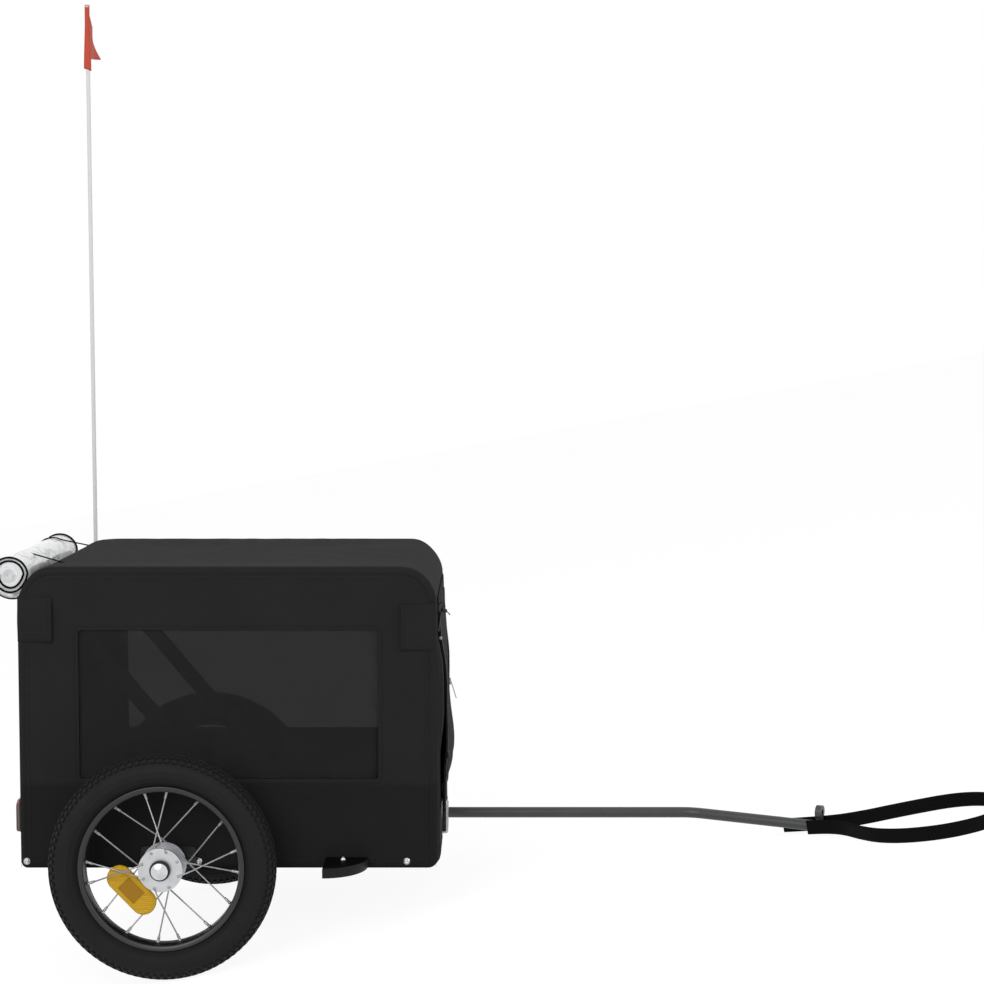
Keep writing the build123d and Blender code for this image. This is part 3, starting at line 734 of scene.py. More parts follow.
def prisms(side):
    """The slanting ribs of both ends, each cut off at the lozenge's rim and at the window."""
    rim = lens_half_width - 0.0030
    straight = lens_half_length - lens_half_width
    half = prism_pitch * 0.46 / math.sqrt(2)
    section = ((-half, 0.0028), (half * 0.7, lens_half_thick - 0.0001), (half, 0.0028))
    ribs_made = []
    for k in range(-17, 18):
        offset = k * prism_pitch * math.sqrt(2)
        inside = []
        for step in range(81):
            v = rim * (step / 40 - 1)
            u = offset - v
            past = max(0.0, abs(u) - straight)
            clear = abs(u) > lens_window[0] + 0.0012
            if past * past + v * v <= rim * rim and clear:
                inside.append((u, v))
        if len(inside) < 4:
            continue
        runs = [[inside[0]]]
        for before, here in zip(inside, inside[1:]):
            if abs(here[1] - before[1]) > rim / 30:
                runs.append([])
            runs[-1].append(here)
        for run in runs:
            if len(run) < 4:
                continue
            ribs_made.append(solid([[on_lens(u + shift, v + shift, out, side) for shift, out in section]
                                    for u, v in (run[0], run[-1])]))
    return joined(ribs_made)


def window_frame(side):
    """The raised frame round the middle window."""
    rows = []
    for grow, out in ((0.0010, 0.0028), (0.0010, 0.0036), (0, 0.0036), (-0.0004, 0.0031)):
        outline = round_outline(2 * (lens_window[0] + grow), 2 * (lens_window[1] + grow), 0.003 + grow)
        rows.append([on_lens(u, v, out, side) for u, v in outline])
    return quads(rows, close_rows=True, close_columns=True)


for side_name, side in SIDES.items():
    lens_parts = joined([lens_body(side), prisms(side), window_frame(side)])
    piece(f"amber_lens_{side_name}", lens_parts, amber, f"wheel_{side_name}", smooth=False,
          stands_for=f"wheel_reflector_{side_name}")

# ---- Tube frame ----
# Black powder-coated steel tubes: two base rails with three crossbars, a bent hoop over each side
# with a flat diagonal strut, and two crossbars under the roof.
tubes = [name for name in frame["nodes"]
         if name.startswith(("base_", "side_hoop", "strut", "top_crossbar"))]
painted(frame_coat, *tubes)

# ---- Cabin cloth: side panels ----
# Black PVC-backed Oxford cloth drawn tight over the frame. Each side is one flat panel, hemmed all
# round, with a long window that reaches back over the wheel; a doubled band runs along its foot,
# where the cloth is painted darker as shade from the wheels and the floor.
roof_low, roof_high = level_box("roof_cover")
panel_low, panel_high = level_box("side_panel_left")
mesh_low, mesh_high = level_box("window_mesh_left")
cabin_rear, cabin_front = roof_low.x, roof_high.x
cabin_top, cabin_split, cabin_bottom = roof_high.z, roof_low.z, panel_low.z - 0.0012
cabin_half = roof_high.y
cloth_thick = panel_high.y - panel_low.y
fold_r = panel_low.x - cabin_rear
corner_r = cabin_top - cabin_split
mesh_lap = 0.006
window_back, window_down = 0.067, 0.0715
window_low = Vector((mesh_low.x + mesh_lap - window_back, 0, mesh_low.z + mesh_lap - window_down))
window_high = Vector((mesh_high.x - mesh_lap, 0, mesh_high.z - mesh_lap))
window_corner = 0.005
panel_foot_corner = 0.001
lower_band_top = 0.098


def smooth_step(number, low, high):
    """0 below low, 1 above high, and a smooth rise between them."""
    share = min(1.0, max(0.0, (number - low) / (high - low)))
    return share * share * (3 - 2 * share)


def ring(low_x, high_x, low_z, high_z, corners, along=(52, 40), turn=6, square=False):
    """A rectangle's outline with a radius for each corner, from its low front corner round by the top.

    A square outline has the same points, with those of its corners pushed out to the corner itself."""
    arcs = []
    spots = ((high_x, low_z, -90), (high_x, high_z, 0), (low_x, high_z, 90), (low_x, low_z, 180))
    for (x, z, start), radius in zip(spots, corners):
        middle_x = x - math.copysign(radius, x - (low_x + high_x) / 2)
        middle_z = z - math.copysign(radius, z - (low_z + high_z) / 2)
        turns = [math.radians(start + 90 * step / turn) for step in range(turn + 1)]
        out = [max(abs(math.cos(a)), abs(math.sin(a))) if square else 1.0 for a in turns]
        arcs.append([(middle_x + radius * math.cos(a) / o, middle_z + radius * math.sin(a) / o)
                     for a, o in zip(turns, out)])
    points = []
    for k, arc in enumerate(arcs):
        points += arc
        (x0, z0), (x1, z1) = arc[-1], arcs[(k + 1) % 4][0]
        steps = along[1 - k % 2]
        points += [(x0 + (x1 - x0) * s / steps, z0 + (z1 - z0) * s / steps) for s in range(1, steps)]
    return points


def spread(low, high, count):
    """Even places from low to high."""
    return [low + (high - low) * k / count for k in range(count + 1)]


def between_rings(outer, inner, shares):
    """Rings of (a, b) places from the outer outline to the inner one."""
    return [[(a0 + (a1 - a0) * t, b0 + (b1 - b0) * t) for (a0, b0), (a1, b1) in zip(outer, inner)]
            for t in shares]


def cloth(grids, point_at, thick):
    """A closed cloth from grids of (a, b) places: a face at depth 0, a back at depth thick, hems between.

    Places that two grids share are sewn into one."""
    index, places, layer = {}, [], []
    for flat_places, faces in grids:
        numbers = []
        for place in flat_places:
            key = tuple(round(part, 6) for part in place)
            if key not in index:
                index[key] = len(places)
                places.append(place)
            numbers.append(index[key])
        layer += [tuple(numbers[k] for k in face) for face in faces]
    uses = {}
    for face in layer:
        for a, b in zip(face, face[1:] + face[:1]):
            uses.setdefault(frozenset((a, b)), []).append((a, b))
    count = len(places)
    points = [point_at(*place, 0.0) for place in places] + [point_at(*place, thick) for place in places]
    back = [tuple(count + k for k in reversed(face)) for face in layer]
    hems = [(b, a, count + a, count + b) for (a, b), *more in uses.values() if not more]
    return points, layer + back + hems


def slack(a, b, seed, rise=0.0016, tight=9.0):
    """How far the cloth stands in from flat, in metres: long soft waves with a few finer slanting ones."""
    long_wave = noise.noise(Vector((a * tight, b * tight, seed)))
    slant = noise.noise(Vector(((a + b) * tight * 3.1, (a - b) * tight * 0.9, seed + 7)))
    return rise * (1.0 + 0.8 * long_wave + 0.35 * slant)


def side_depth(x, z):
    """How far a side panel stands in at a place: taut at its edges and round its window."""
    edge = min(x - cabin_rear, cabin_front - x, cabin_top - z, z - cabin_bottom)
    beside = max(window_low.x - x, x - window_high.x, window_low.z - z, z - window_high.z)
    free = smooth_step(edge, 0.020, 0.075) * smooth_step(beside, 0.002, 0.045)
    return free * slack(x, z, 1.3, 0.0019)


cloth_weave = 0.00085


def woven(axes, pitch):
    """The waves of threads that run all three ways."""
    along, across, upright = (part.waves(pitch) for part in axes)
    return along + across + upright


def cloth_finish(name, grey, slot=None):
    """Plain-woven coated cloth with slubs: its finish, its axes, and the share of faint cloudy wear."""
    made = Finish(name, paint(grey), 0.78, slot, Specular_IOR_Level=0.07)
    here = made.place()
    axes = made.axes(here)
    slubs = made.speckle(here, 420, 1.0, (1, 1, 0.15)) + made.speckle(here, 420, 1.0, (0.15, 1, 1))
    clouds = made.speckle(here, 14, 4.0)
    share = clouds * 0.75 + slubs * 0.12
    made.relief(woven(axes, cloth_weave) * 0.22 + slubs * 0.5, 0.00028, 0.55)
    return made, axes, share


oxford, (_, oxford_y, oxford_z), oxford_share = cloth_finish("black_cloth", 47)
on_side = oxford_y.size().between(cabin_half - fold_r, cabin_half - fold_r / 2)
# Below the band's seam the side panels are painted darker: painted shade from the wheels and the floor beside
# them.
band = (lower_band_top - oxford_z).between(-0.004, 0.004)
painted_low_shade = on_side * band * 0.55
plain_tone = oxford.mix(oxford_share, paint(37), paint(48))
shaded_band_tone = oxford.mix(oxford_share, paint(26), paint(36))
oxford.coat(Base_Color=oxford.mix(painted_low_shade, plain_tone, shaded_band_tone), Roughness=0.72 + oxford_share * 0.16)

thread = mottled("sewing_thread", (paint(30), paint(46)), (1500, 1.0), (0.7, 0), (2600, 1.0), strength=0.6,
                 slot="black_cloth", Specular_IOR_Level=0.16)

stitch_pitch = 0.0042
stitch_long = 0.0030
stitch_r = 0.00028


def stitches(line, lift, close=False):
    """Lock stitches along a line of points: short tapered bars that sit on the cloth.

    lift is the way out of the cloth, or a function that gives it at a point."""
    loops = []
    reach, travelled = stitch_pitch / 2, 0.0
    path = line + line[:1] if close else line
    for start, end in zip(path, path[1:]):
        run = (end - start).length
        if run < 1e-7:
            continue
        along = (end - start) / run
        while reach <= travelled + run:
            middle = start + along * (reach - travelled)
            out = lift(middle) if callable(lift) else lift
            side = along.cross(out).normalized()
            rows = []
            for step, radius in ((-1, 0.3), (-0.7, 1.0), (0.7, 1.0), (1, 0.3)):
                sunk = 0.55 if abs(step) < 1 else -0.4
                centre = middle + along * (step * stitch_long / 2) + out * (stitch_r * sunk)
                rows.append([centre + side * (stitch_r * radius * c) + out * (stitch_r * radius * s)
                             for c, s in ((1, 0), (0, 1), (-1, 0), (0, -1))])
            loops.append(solid(rows))
            reach += stitch_pitch
        travelled += run
    return joined(loops)


def panel_outline(inset):
    """The side panel's outline, drawn in by inset."""
    top_r, low_r = corner_r - fold_r - inset, panel_foot_corner
    return ring(cabin_rear + fold_r + inset, cabin_front - fold_r - inset, cabin_bottom + inset,
                cabin_top - fold_r - inset, (low_r, top_r, top_r, low_r))


def window_outline(grow):
    """The window's outline, larger by grow."""
    return ring(window_low.x - grow, window_high.x + grow, window_low.z - grow, window_high.z + grow,
                [window_corner + grow] * 4)


panel_steps = 16
binding_wide = 0.0065
for side_name, side in SIDES.items():
    outwards = Vector((0, side, 0))

    def on_panel(x, z, depth, side=side):
        """A point of the side panel, depth below its face."""
        return Vector((x, side * (cabin_half - depth - side_depth(x, z)), z))

    rings = between_rings(panel_outline(0), window_outline(0), spread(0, 1, panel_steps))
    piece(f"side_cloth_{side_name}", cloth([quads(rings, close_columns=True)], on_panel, cloth_thick),
          oxford, "chassis", stands_for=f"side_panel_{side_name}")

    tape_rings = between_rings(window_outline(binding_wide), window_outline(-0.0003),
                               (0, 0.12, 0.5, 0.88, 1))

    def on_tape(x, z, depth, side=side):
        """A point of the folded tape, which lies on the panel's face."""
        return Vector((x, side * (cabin_half + 0.00012 - depth - side_depth(x, z)), z))

    piece(f"window_binding_{side_name}", cloth([quads(tape_rings, close_columns=True)], on_tape, 0.0008),
          oxford, "chassis")
    seams = [[on_panel(x, z, -lift) for x, z in outline] for outline, lift in (
        (panel_outline(0.005), 0.0002), (window_outline(binding_wide - 0.0015), 0.0005))]
    sewn = [stitches(line, outwards, close=True) for line in seams]
    band_low, band_high = cabin_rear + fold_r + 0.004, cabin_front - fold_r - 0.004
    band_line = [on_panel(band_low + (band_high - band_low) * k / 60, lower_band_top - 0.004, -0.0001)
                 for k in range(61)]
    sewn.append(stitches(band_line, outwards))
    piece(f"side_stitches_{side_name}", joined(sewn), thread, "chassis")

# ---- Window meshes ----
# Open knitted mesh, sewn to the inside of the wall all round each window. Its holes let about a
# third of the light through.
knit = Finish("black_mesh", paint(40), 0.7, Specular_IOR_Level=0.2)
knit_place = knit.place()
knit_x, knit_y, knit_z = knit.axes(knit_place)
knit_pitch = 0.0017
knit_rows = knit_z.waves(knit_pitch)
knit_columns = (knit_x + knit_y).waves(knit_pitch)
knit_share = knit.speckle(knit_place, 22, 3.0)
knit.coat(Base_Color=knit.mix(knit_share, paint(35), paint(43)), Alpha=0.63 + knit_share * 0.08)
knit.relief(knit_rows * knit_columns, 0.0003, 0.5)


def net_grid(outline, steps=12, middle_size=0.02):
    """A net's places: rings that close in on its middle, and one small face there."""
    middle_a, middle_b = ((max(parts) + min(parts)) / 2 for parts in zip(*outline))
    inner = [(middle_a + (a - middle_a) * middle_size, middle_b + (b - middle_b) * middle_size)
             for a, b in outline]
    flat_places, faces = quads(between_rings(outline, inner, spread(0, 1, steps)), close_columns=True)
    return flat_places, faces + [tuple(range(len(flat_places) - len(outline), len(flat_places)))]


net_mesh = net_grid(window_outline(mesh_lap - 0.0005))
for side_name, side in SIDES.items():
    def on_mesh(x, z, depth, side=side):
        """A point of the mesh, a little slack in the middle of the window."""
        edge = min(x - window_low.x, window_high.x - x, z - window_low.z, window_high.z - z)
        sag = smooth_step(edge, 0.0, 0.05) * slack(x, z, 4.1, 0.0011, 14.0)
        sag -= 0.0012 * smooth_step(edge, 0.0003, 0.004)
        return Vector((x, side * (cabin_half - cloth_thick - 0.0001 - sag - depth), z))

    piece(f"window_net_{side_name}", cloth([net_mesh], on_mesh, 0.0005), knit, "chassis",
          stands_for=f"window_mesh_{side_name}")

# ---- Roof cover ----
# One piece of the same cloth over the roof and down round both top corners. It sags a little
# between the crossbars, puckers where it is gathered, and is sewn to the side panels along each hoop.
fold_long = fold_r * math.pi / 2
flat_half = cabin_half - fold_r
strip_half = flat_half + fold_long
wall_long = cabin_split - cabin_bottom
corner_long = corner_r * math.pi / 2
roof_long = cabin_front - cabin_rear - 2 * corner_r
strip_long = 2 * (wall_long + corner_long) + roof_long
crossbar_rear = sum(level_box("top_crossbar_rear"), Vector()).x / 2
crossbar_front = sum(level_box("top_crossbar_front"), Vector()).x / 2


def strip_line(s):
    """A place on the line up the rear wall, over the roof and down the front: (x, z), (outward x, z)."""
    reach = s - wall_long
    if reach < 0:
        return (cabin_rear, cabin_bottom + s), (-1.0, 0.0)
    if reach < corner_long:
        turn = math.pi - reach / corner_r
        middle = (cabin_rear + corner_r, cabin_split)
    elif reach < corner_long + roof_long:
        return (cabin_rear + corner_r + reach - corner_long, cabin_top), (0.0, 1.0)
    elif reach < 2 * corner_long + roof_long:
        turn = math.pi / 2 - (reach - corner_long - roof_long) / corner_r
        middle = (cabin_front - corner_r, cabin_split)
    else:
        return (cabin_front, cabin_split - (reach - 2 * corner_long - roof_long)), (1.0, 0.0)
    out = (math.cos(turn), math.sin(turn))
    return (middle[0] + corner_r * out[0], middle[1] + corner_r * out[1]), out


def hoop_turn(v):
    """How far the cloth has turned down over a side hoop at v, in radians."""
    return max(0.0, (abs(v) - flat_half) / fold_r)


def on_strip(s, v, depth):
    """A point of the cloth that goes round the cabin lengthwise, depth below its face.

    v runs across it, and past the flat it turns down over a side hoop to meet the side panel."""
    (x, z), (out_x, out_z) = strip_line(s)
    turn = hoop_turn(v)
    inset = fold_r - (fold_r - depth) * math.cos(turn)
    y = min(abs(v), flat_half) + (fold_r - depth) * math.sin(turn)
    return Vector((x - out_x * inset, math.copysign(y, v) if v else 0.0, z - out_z * inset))


roll_touch = 0.026


def roof_depth(s, v):
    """How far the roof stands in: slack between tubes, puckers by its rear seam, a dent under the roll."""
    x = strip_line(s)[0][0]
    across = smooth_step(strip_half - abs(v), 0.022, 0.10)
    over_bar = min(1.0, abs(x - crossbar_rear) / 0.05, abs(x - crossbar_front) / 0.05)
    along = smooth_step(x, cabin_rear + 0.012, cabin_rear + 0.06)
    along *= smooth_step(cabin_front - x, 0.012, 0.06)
    sag = 0.0008 * over_bar * over_bar + slack(s, v, 2.2, 0.0015, 8.0)
    pucker = 0.0009 * noise.noise(Vector((s * 62, v * 13, 5.5))) * smooth_step(v, 0.0, 0.08)
    past_rear = smooth_step(x, cabin_rear + 0.02, cabin_rear + 0.06)
    pucker *= smooth_step(strip_half - v, 0.006, 0.03) * past_rear
    turn = hoop_turn(v)
    proud = 0.0038 * smooth_step(v, -0.12, 0.15) * math.cos(turn)
    proud *= smooth_step(x, cabin_rear + 0.02, cabin_rear + 0.07)
    proud *= smooth_step(cabin_front - x, 0.006, 0.04)
    under_roll = (0.0060 - 0.006 * v) * math.exp(-((s - wall_long - roll_touch) / 0.021) ** 2)
    under_roll *= 0.32 * math.cos(turn) + 0.68 * smooth_step(strip_half - abs(v), 0.026, 0.05)
    return across * along * sag + pucker * smooth_step(cabin_front - x, 0.03, 0.2) + under_roll - proud


def on_roof(s, v, depth):
    """A point of the roof cover."""
    return on_strip(s, v, depth + roof_depth(s, v))


across_places = spread(-strip_half, -flat_half, 6)
across_places += spread(-flat_half, flat_half, 54)[1:] + spread(flat_half, strip_half, 6)[1:]
roof_ends = (wall_long, strip_long - wall_long)
along_places = spread(roof_ends[0], roof_ends[0] + corner_long, 12)
along_places += spread(along_places[-1], roof_ends[1] - corner_long, 70)[1:]
along_places += spread(along_places[-1], roof_ends[1], 12)[1:]
roof_grid = quads([[(s, v) for v in across_places] for s in along_places])
piece("roof_cloth", cloth([roof_grid], on_roof, cloth_thick), oxford, "chassis", stands_for="roof_cover")

# ---- Front and rear walls ----
# The same cloth continues down both ends, folded round the uprights of the hoops. Each wall has a
# doorway with round corners, and its foot is hemmed over the lowest crossbar.
flap_box = level_box("front_flap")
door_box = level_box("rear_door")
door_lap = 0.014
doorway_corner = 0.020
doorway_half = flap_box[1].y - door_lap
doorway_low, doorway_high = flap_box[0].z + door_lap, flap_box[1].z - door_lap


def wall_depth(v, z):
    """How far an end wall stands in: taut at its edges and its doorway."""
    beside = max(abs(v) - doorway_half, doorway_low - z, z - doorway_high)
    free = smooth_step(strip_half - abs(v), 0.022, 0.05)
    free *= smooth_step(z, cabin_bottom + 0.02, cabin_bottom + 0.06)
    free *= smooth_step(cabin_split - z, 0.0, 0.04)
    free *= smooth_step(beside, 0.0, 0.03)
    return free * slack(v, z, 3.7, 0.0012, 14)


def wall_bulge(v, z):
    """How far the front wall bellies out, most by the zip's top half, but not under the hitch bracket."""
    from_bracket = max(abs(v) - 0.024, z - 0.034)
    low = (0.0044 + 0.0024 * smooth_step(v, -0.06, 0.08)) * (1 - smooth_step(z, 0.22, 0.30))
    high = 0.0056 * smooth_step(-v, 0.095, 0.136) * smooth_step(z, 0.128, 0.192)
    high *= 1 - smooth_step(z, 0.250, 0.318)
    bulge = (low + high) * smooth_step(strip_half - abs(v), 0.0, 0.032)
    return bulge * smooth_step(from_bracket, 0.0, 0.035)


foot_r = 0.010
foot_steps = spread(cabin_bottom, cabin_bottom + foot_r, 8)


def wall_grids():
    """A wall as (v, z) places: rings round its doorway, the rolled foot, and its two folds."""
    outer = ring(-flat_half, flat_half, cabin_bottom + foot_r, cabin_split, [0.012] * 4, square=True)
    inner = ring(-doorway_half, doorway_half, doorway_low, doorway_high, [doorway_corner] * 4)
    grids = [quads(between_rings(outer, inner, spread(0, 1, 9)), close_columns=True)]
    low_edge = sorted({round(v, 6) for v, z in outer if z < cabin_bottom + foot_r + 1e-6})
    grids.append(quads([[(v, z) for v in low_edge] for z in foot_steps]))
    for way in (1, -1):
        edge = foot_steps[:-1] + sorted({round(z, 6) for v, z in outer if v * way > flat_half - 1e-6})
        grids.append(quads([[(way * v, z) for z in edge] for v in spread(flat_half, strip_half, 6)]))
    return grids


walls = {"front": (cabin_front, 1), "rear": (cabin_rear, -1)}
for end, (wall_x, way) in walls.items():
    def on_wall(v, z, depth, wall_x=wall_x, way=way):
        """A point of an end wall, depth below its face."""
        depth = depth + wall_depth(v, z)
        turn = hoop_turn(v)
        roll = math.pi / 2 * max(0.0, (cabin_bottom + foot_r - z) / foot_r)
        inset = max(fold_r - (fold_r - depth) * math.cos(turn), foot_r - (foot_r - depth) * math.cos(roll))
        y = min(abs(v), flat_half) + (fold_r - depth) * math.sin(turn)
        height = z if roll == 0 else cabin_bottom + foot_r - (foot_r - depth) * math.sin(roll)
        if way > 0:
            inset -= wall_bulge(v, z) * math.cos(roll)
        return Vector((wall_x - way * inset, math.copysign(y, v), height))

    piece(f"{end}_wall_cloth", cloth(wall_grids(), on_wall, cloth_thick), oxford, "chassis",
          stands_for=f"{end}_wall")

    rows = []
    for inset in (0.0115, 0.0185):
        outline = ring(-flat_half + 0.004, flat_half - 0.004, cabin_bottom + inset, cabin_split - 0.006,
                       [0.003] * 4)
        line = [on_wall(v, z, -0.0002) for v, z in outline]
        rows.append(stitches(line, Vector((way, 0, 0)), close=True))
    piece(f"{end}_wall_stitches", joined(rows), thread, "chassis")

hem_rows = []
for side in SIDES.values():
    for v in (strip_half - 0.0035, strip_half - 0.0035 - 0.0065):
        line = [on_roof(s, side * v, -0.0003) for s in spread(0, strip_long, 260)]

        def off_fold(point, side=side, v=v):
            """Out from the cloth where it turns over the hoop."""
            turn = (v - flat_half) / fold_r
            flat = Vector((point.x, 0, point.z))
            inner = Vector((min(max(point.x, cabin_rear + corner_r), cabin_front - corner_r), 0,
                            min(point.z, cabin_split)))
            away = (flat - inner).normalized()
            return (away * math.cos(turn) + Vector((0, side * math.sin(turn), 0))).normalized()

        hem_rows.append(stitches(line, off_fold))
piece("roof_seam_stitches", joined(hem_rows), thread, "chassis")

# ---- Corner tabs ----
# A folded cloth tab holds the cover to each top corner of the frame. It is sewn to the end wall,
# comes round the corner, and its free end stands a little off the side panel.
tab_low, tab_high = 0.2835, 0.3455
tab_free = 0.0475
tab_on_wall = 0.034


def tab_point(reach, z, depth, wall_x, way, side):
    """A point of a tab: reach runs from its free end on the side, round the corner, on to the wall."""
    straight = tab_free - fold_r
    crown = 4 * (z - tab_low) * (tab_high - z) / (tab_high - tab_low) ** 2
    lift = 0.0007 + 0.0024 * (1 - smooth_step(reach, 0.0, 0.016)) * (0.5 + 0.5 * crown) + 0.0006 * crown
    lift += 0.0004 * noise.noise(Vector((reach * 60, z * 45, wall_x * 9 + side)))
    lift -= 0.0005 * smooth_step(reach, tab_free - fold_r, tab_free)
    out = lift - depth
    radius = fold_r + out
    if reach < straight:
        return Vector((wall_x - way * (tab_free - reach), side * (cabin_half + out), z))
    turn = (reach - straight) / fold_r
    if turn < math.pi / 2:
        return Vector((wall_x - way * (fold_r - radius * math.sin(turn)),
                       side * (flat_half + radius * math.cos(turn)), z))
    onward = reach - straight - fold_long
    return Vector((wall_x + way * out, side * (flat_half - onward), z))


tab_reach = tab_free - fold_r + fold_long + tab_on_wall - fold_r
for end, (wall_x, way) in walls.items():
    low_shift, high_shift = (-0.006, -0.006) if end == "front" else (0.006, 0.004)
    low, high = tab_low + low_shift, tab_high + high_shift
    for side_name, side in SIDES.items():
        def on_tab(reach, z, depth, wall_x=wall_x, way=way, side=side):
            """A point of this corner's tab."""
            return tab_point(reach, z, depth, wall_x, way, side)

        grid = quads([[(reach, z) for z in spread(low, high, 14)] for reach in spread(0, tab_reach, 30)])
        piece(f"corner_tab_{end}_{side_name}", cloth([grid], on_tab, 0.0016), oxford, "chassis")
        lines = [[on_tab(reach, z, -0.0001) for reach in spread(0.004, tab_free - fold_r, 12)]
                 for z in (low + 0.0035, high - 0.0035)]
        lines.append([on_tab(0.0045, z, -0.0001) for z in spread(low + 0.0035, high - 0.0035, 14)])
        sewn = joined([stitches(line, Vector((0, side, 0))) for line in lines])
        piece(f"corner_tab_stitches_{end}_{side_name}", sewn, thread, "chassis")

# ---- Front flap ----
# A single cloth sheet sewn along its top edge over the front doorway. Zip tape runs down both its
# sides; unzipped, it hangs loose and bellies out low down. A cord with a toggle ties it when rolled up.
flap_half = flap_box[1].y
flap_top, flap_foot = flap_box[1].z, flap_box[0].z
flap_gap = 0.0006
flap_thick = 0.0013
hang_depth, crease_depth, crease_spread = 0.098, 0.239, 0.036


def flap_stand(y, z):
    """How far the flap stands off the wall: it hangs away, buckles out at a crease and comes back."""
    drop = flap_top - z
    near = 1 - smooth_step(y, -flap_half, -0.06)
    away = 0.0070 * smooth_step(drop, 0.016, hang_depth)
    away += 0.0020 * smooth_step(drop, hang_depth, crease_depth - 0.06)
    away += 0.0020 * near * smooth_step(drop, 0.11, 0.155) * (1 - smooth_step(drop, 0.205, 0.24))
    away -= 0.0014 * near * smooth_step(drop, 0.195, 0.235)
    past = (drop - crease_depth) / (crease_spread * (1.35 if drop < crease_depth else 0.85))
    crease = 0.0076 * math.exp(-past * past) * (0.10 + 0.90 * smooth_step(y, -flap_half, flap_half * 0.2))
    hem = 0.0068 * (1 - near) * smooth_step(drop, crease_depth + 0.008, crease_depth + 0.062)
    ripple = 0.0009 * noise.noise(Vector((y * 16, z * 11, 8.8)))
    ripple += 0.0004 * noise.noise(Vector((y * 52, z * 14, 2.1)))
    stand = (away + crease - hem) * (1 - 0.55 * smooth_step(y, flap_half - 0.040, flap_half))
    against = wall_bulge(y, z) + 0.0006 * smooth_step(drop, 0.0, 0.02)
    return max(stand, against) + ripple * smooth_step(drop, 0.0, 0.05)


def on_flap(y, z, depth):
    """A point of the flap, depth behind its face."""
    return Vector((cabin_front + flap_gap + flap_thick + flap_stand(y, z) - depth, y, z))


def bent_between(name, mesh_parts, finish, near, far, start, end, stands_for=None):
    """A piece on no body, with its tipping baked into its mesh. near, far, start and end are not used."""
    made = piece(name, mesh_parts, finish, None, stands_for)
    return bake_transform(made)


flap_hinge = ("chassis", "front_door", (cabin_front, 0, flap_top - 0.001),
              (cabin_front, 0, flap_top - 0.034))
flap_grid = quads([[(y, z) for y in spread(-flap_half, flap_half, 52)]
                   for z in spread(flap_top, flap_foot, 70)])
flap = bent_between("flap_cloth", cloth([flap_grid], on_flap, flap_thick), oxford, *flap_hinge,
                    stands_for="front_flap")
zip_inset, tape_half, tooth_pitch, tooth_half = 0.0085, 0.0068, 0.0022, 0.0028
zip_low, zip_high = flap_foot + 0.004, flap_top - 0.020
tape_parts, tooth_parts = [], []


def on_zip(y, z, depth):
    """A point of the zip's tape, on the flap's face."""
    return on_flap(y, z, depth - 0.0007)


def zip_tooth(place):
    """One ridged tooth of a zip, where place(across, along, up) is a point near its middle."""
    return quads([[place(across, along, up) for across in (-tooth_half, tooth_half)]
                  for along, up in ((0.0007, 0.0), (0.0004, 0.0011), (-0.0004, 0.0011), (-0.0007, 0.0))],
                 close_rows=True)


for way in (1, -1):
    edge = way * (flap_half - zip_inset)
    columns = spread(edge - tape_half, edge + tape_half, 3)
    tape_parts.append(cloth([quads([[(y, z) for y in columns] for z in spread(zip_high, zip_low, 60)])],
                            on_zip, 0.0009))
    for k in range(int((zip_high - zip_low - 0.010) / tooth_pitch)):
        z = zip_high - 0.006 - k * tooth_pitch
        tooth_parts.append(zip_tooth(
            lambda across, along, up: on_flap(edge + across, z + along, -0.0005 - up)))
zips = bent_between("flap_zips", joined(tape_parts), webbing, *flap_hinge)
teeth = bent_between("flap_zip_teeth", joined(tooth_parts), plastic, *flap_hinge)

sewn_half = flap_half - 0.004
flap_lines = [[on_flap(y, z, -0.0002) for y in spread(-sewn_half, sewn_half, 60)]
              for z in (flap_top - 0.005, flap_top - 0.012, flap_foot + 0.010)]
for way in (1, -1):
    for inset in (0.0025, 0.0145):
        flap_lines.append([on_flap(way * (flap_half - inset), z, -0.0009)
                           for z in spread(zip_high, zip_low, 60)])
bent_between("flap_stitches", joined([stitches(line, AHEAD) for line in flap_lines]), thread,
             *flap_hinge)


def flat_plate(low, high, rounding=0.0004):
    """A small plate with round corners, square to the X axis, between two corners."""
    (x0, y0, z0), (x1, y1, z1) = low, high
    outline = round_outline(y1 - y0, z1 - z0, min(y1 - y0, z1 - z0) * 0.32)
    rows = [[Vector((x, (y0 + y1) / 2 + u * grow, (z0 + z1) / 2 + v * grow)) for u, v in outline]
            for x, grow in ((x0, 0.92), (x0 + rounding, 1.0), (x1 - rounding, 1.0), (x1, 0.92))]
    return solid(rows)


pale = mottled("pale_pull", (paint(200), paint(228)), (300, 2.0), (0.45, 0), (1800, 1.0),
               slot="black_plastic", Specular_IOR_Level=0.4)
for name, y, z, long, out in (("upper", flap_half - 0.011, 0.184, 0.025, 0.0100),
                              ("lower", zip_inset - flap_half, 0.128, 0.030, 0.0004)):
    seat = on_flap(y, z, 0) + Vector((0.0012, 0, 0))
    foot = on_flap(y, z - long, 0) + Vector((0.0016 + out, 0, 0))
    slider = flat_plate((seat.x, y - 0.004, z - 0.005), (seat.x + 0.0024, y + 0.004, z + 0.005))
    tag_line = [seat + Vector((0.0024, 0, 0)), (seat + foot) / 2 + Vector((0.0014, 0, 0)), foot]
    tag = swept(tag_line, round_outline(0.0050, 0.0012, 0.0005), AHEAD)
    pull_finish = pale if name == "upper" else plastic
    piece(f"zip_pull_{name}", joined([slider, tag]), pull_finish, "front_door")

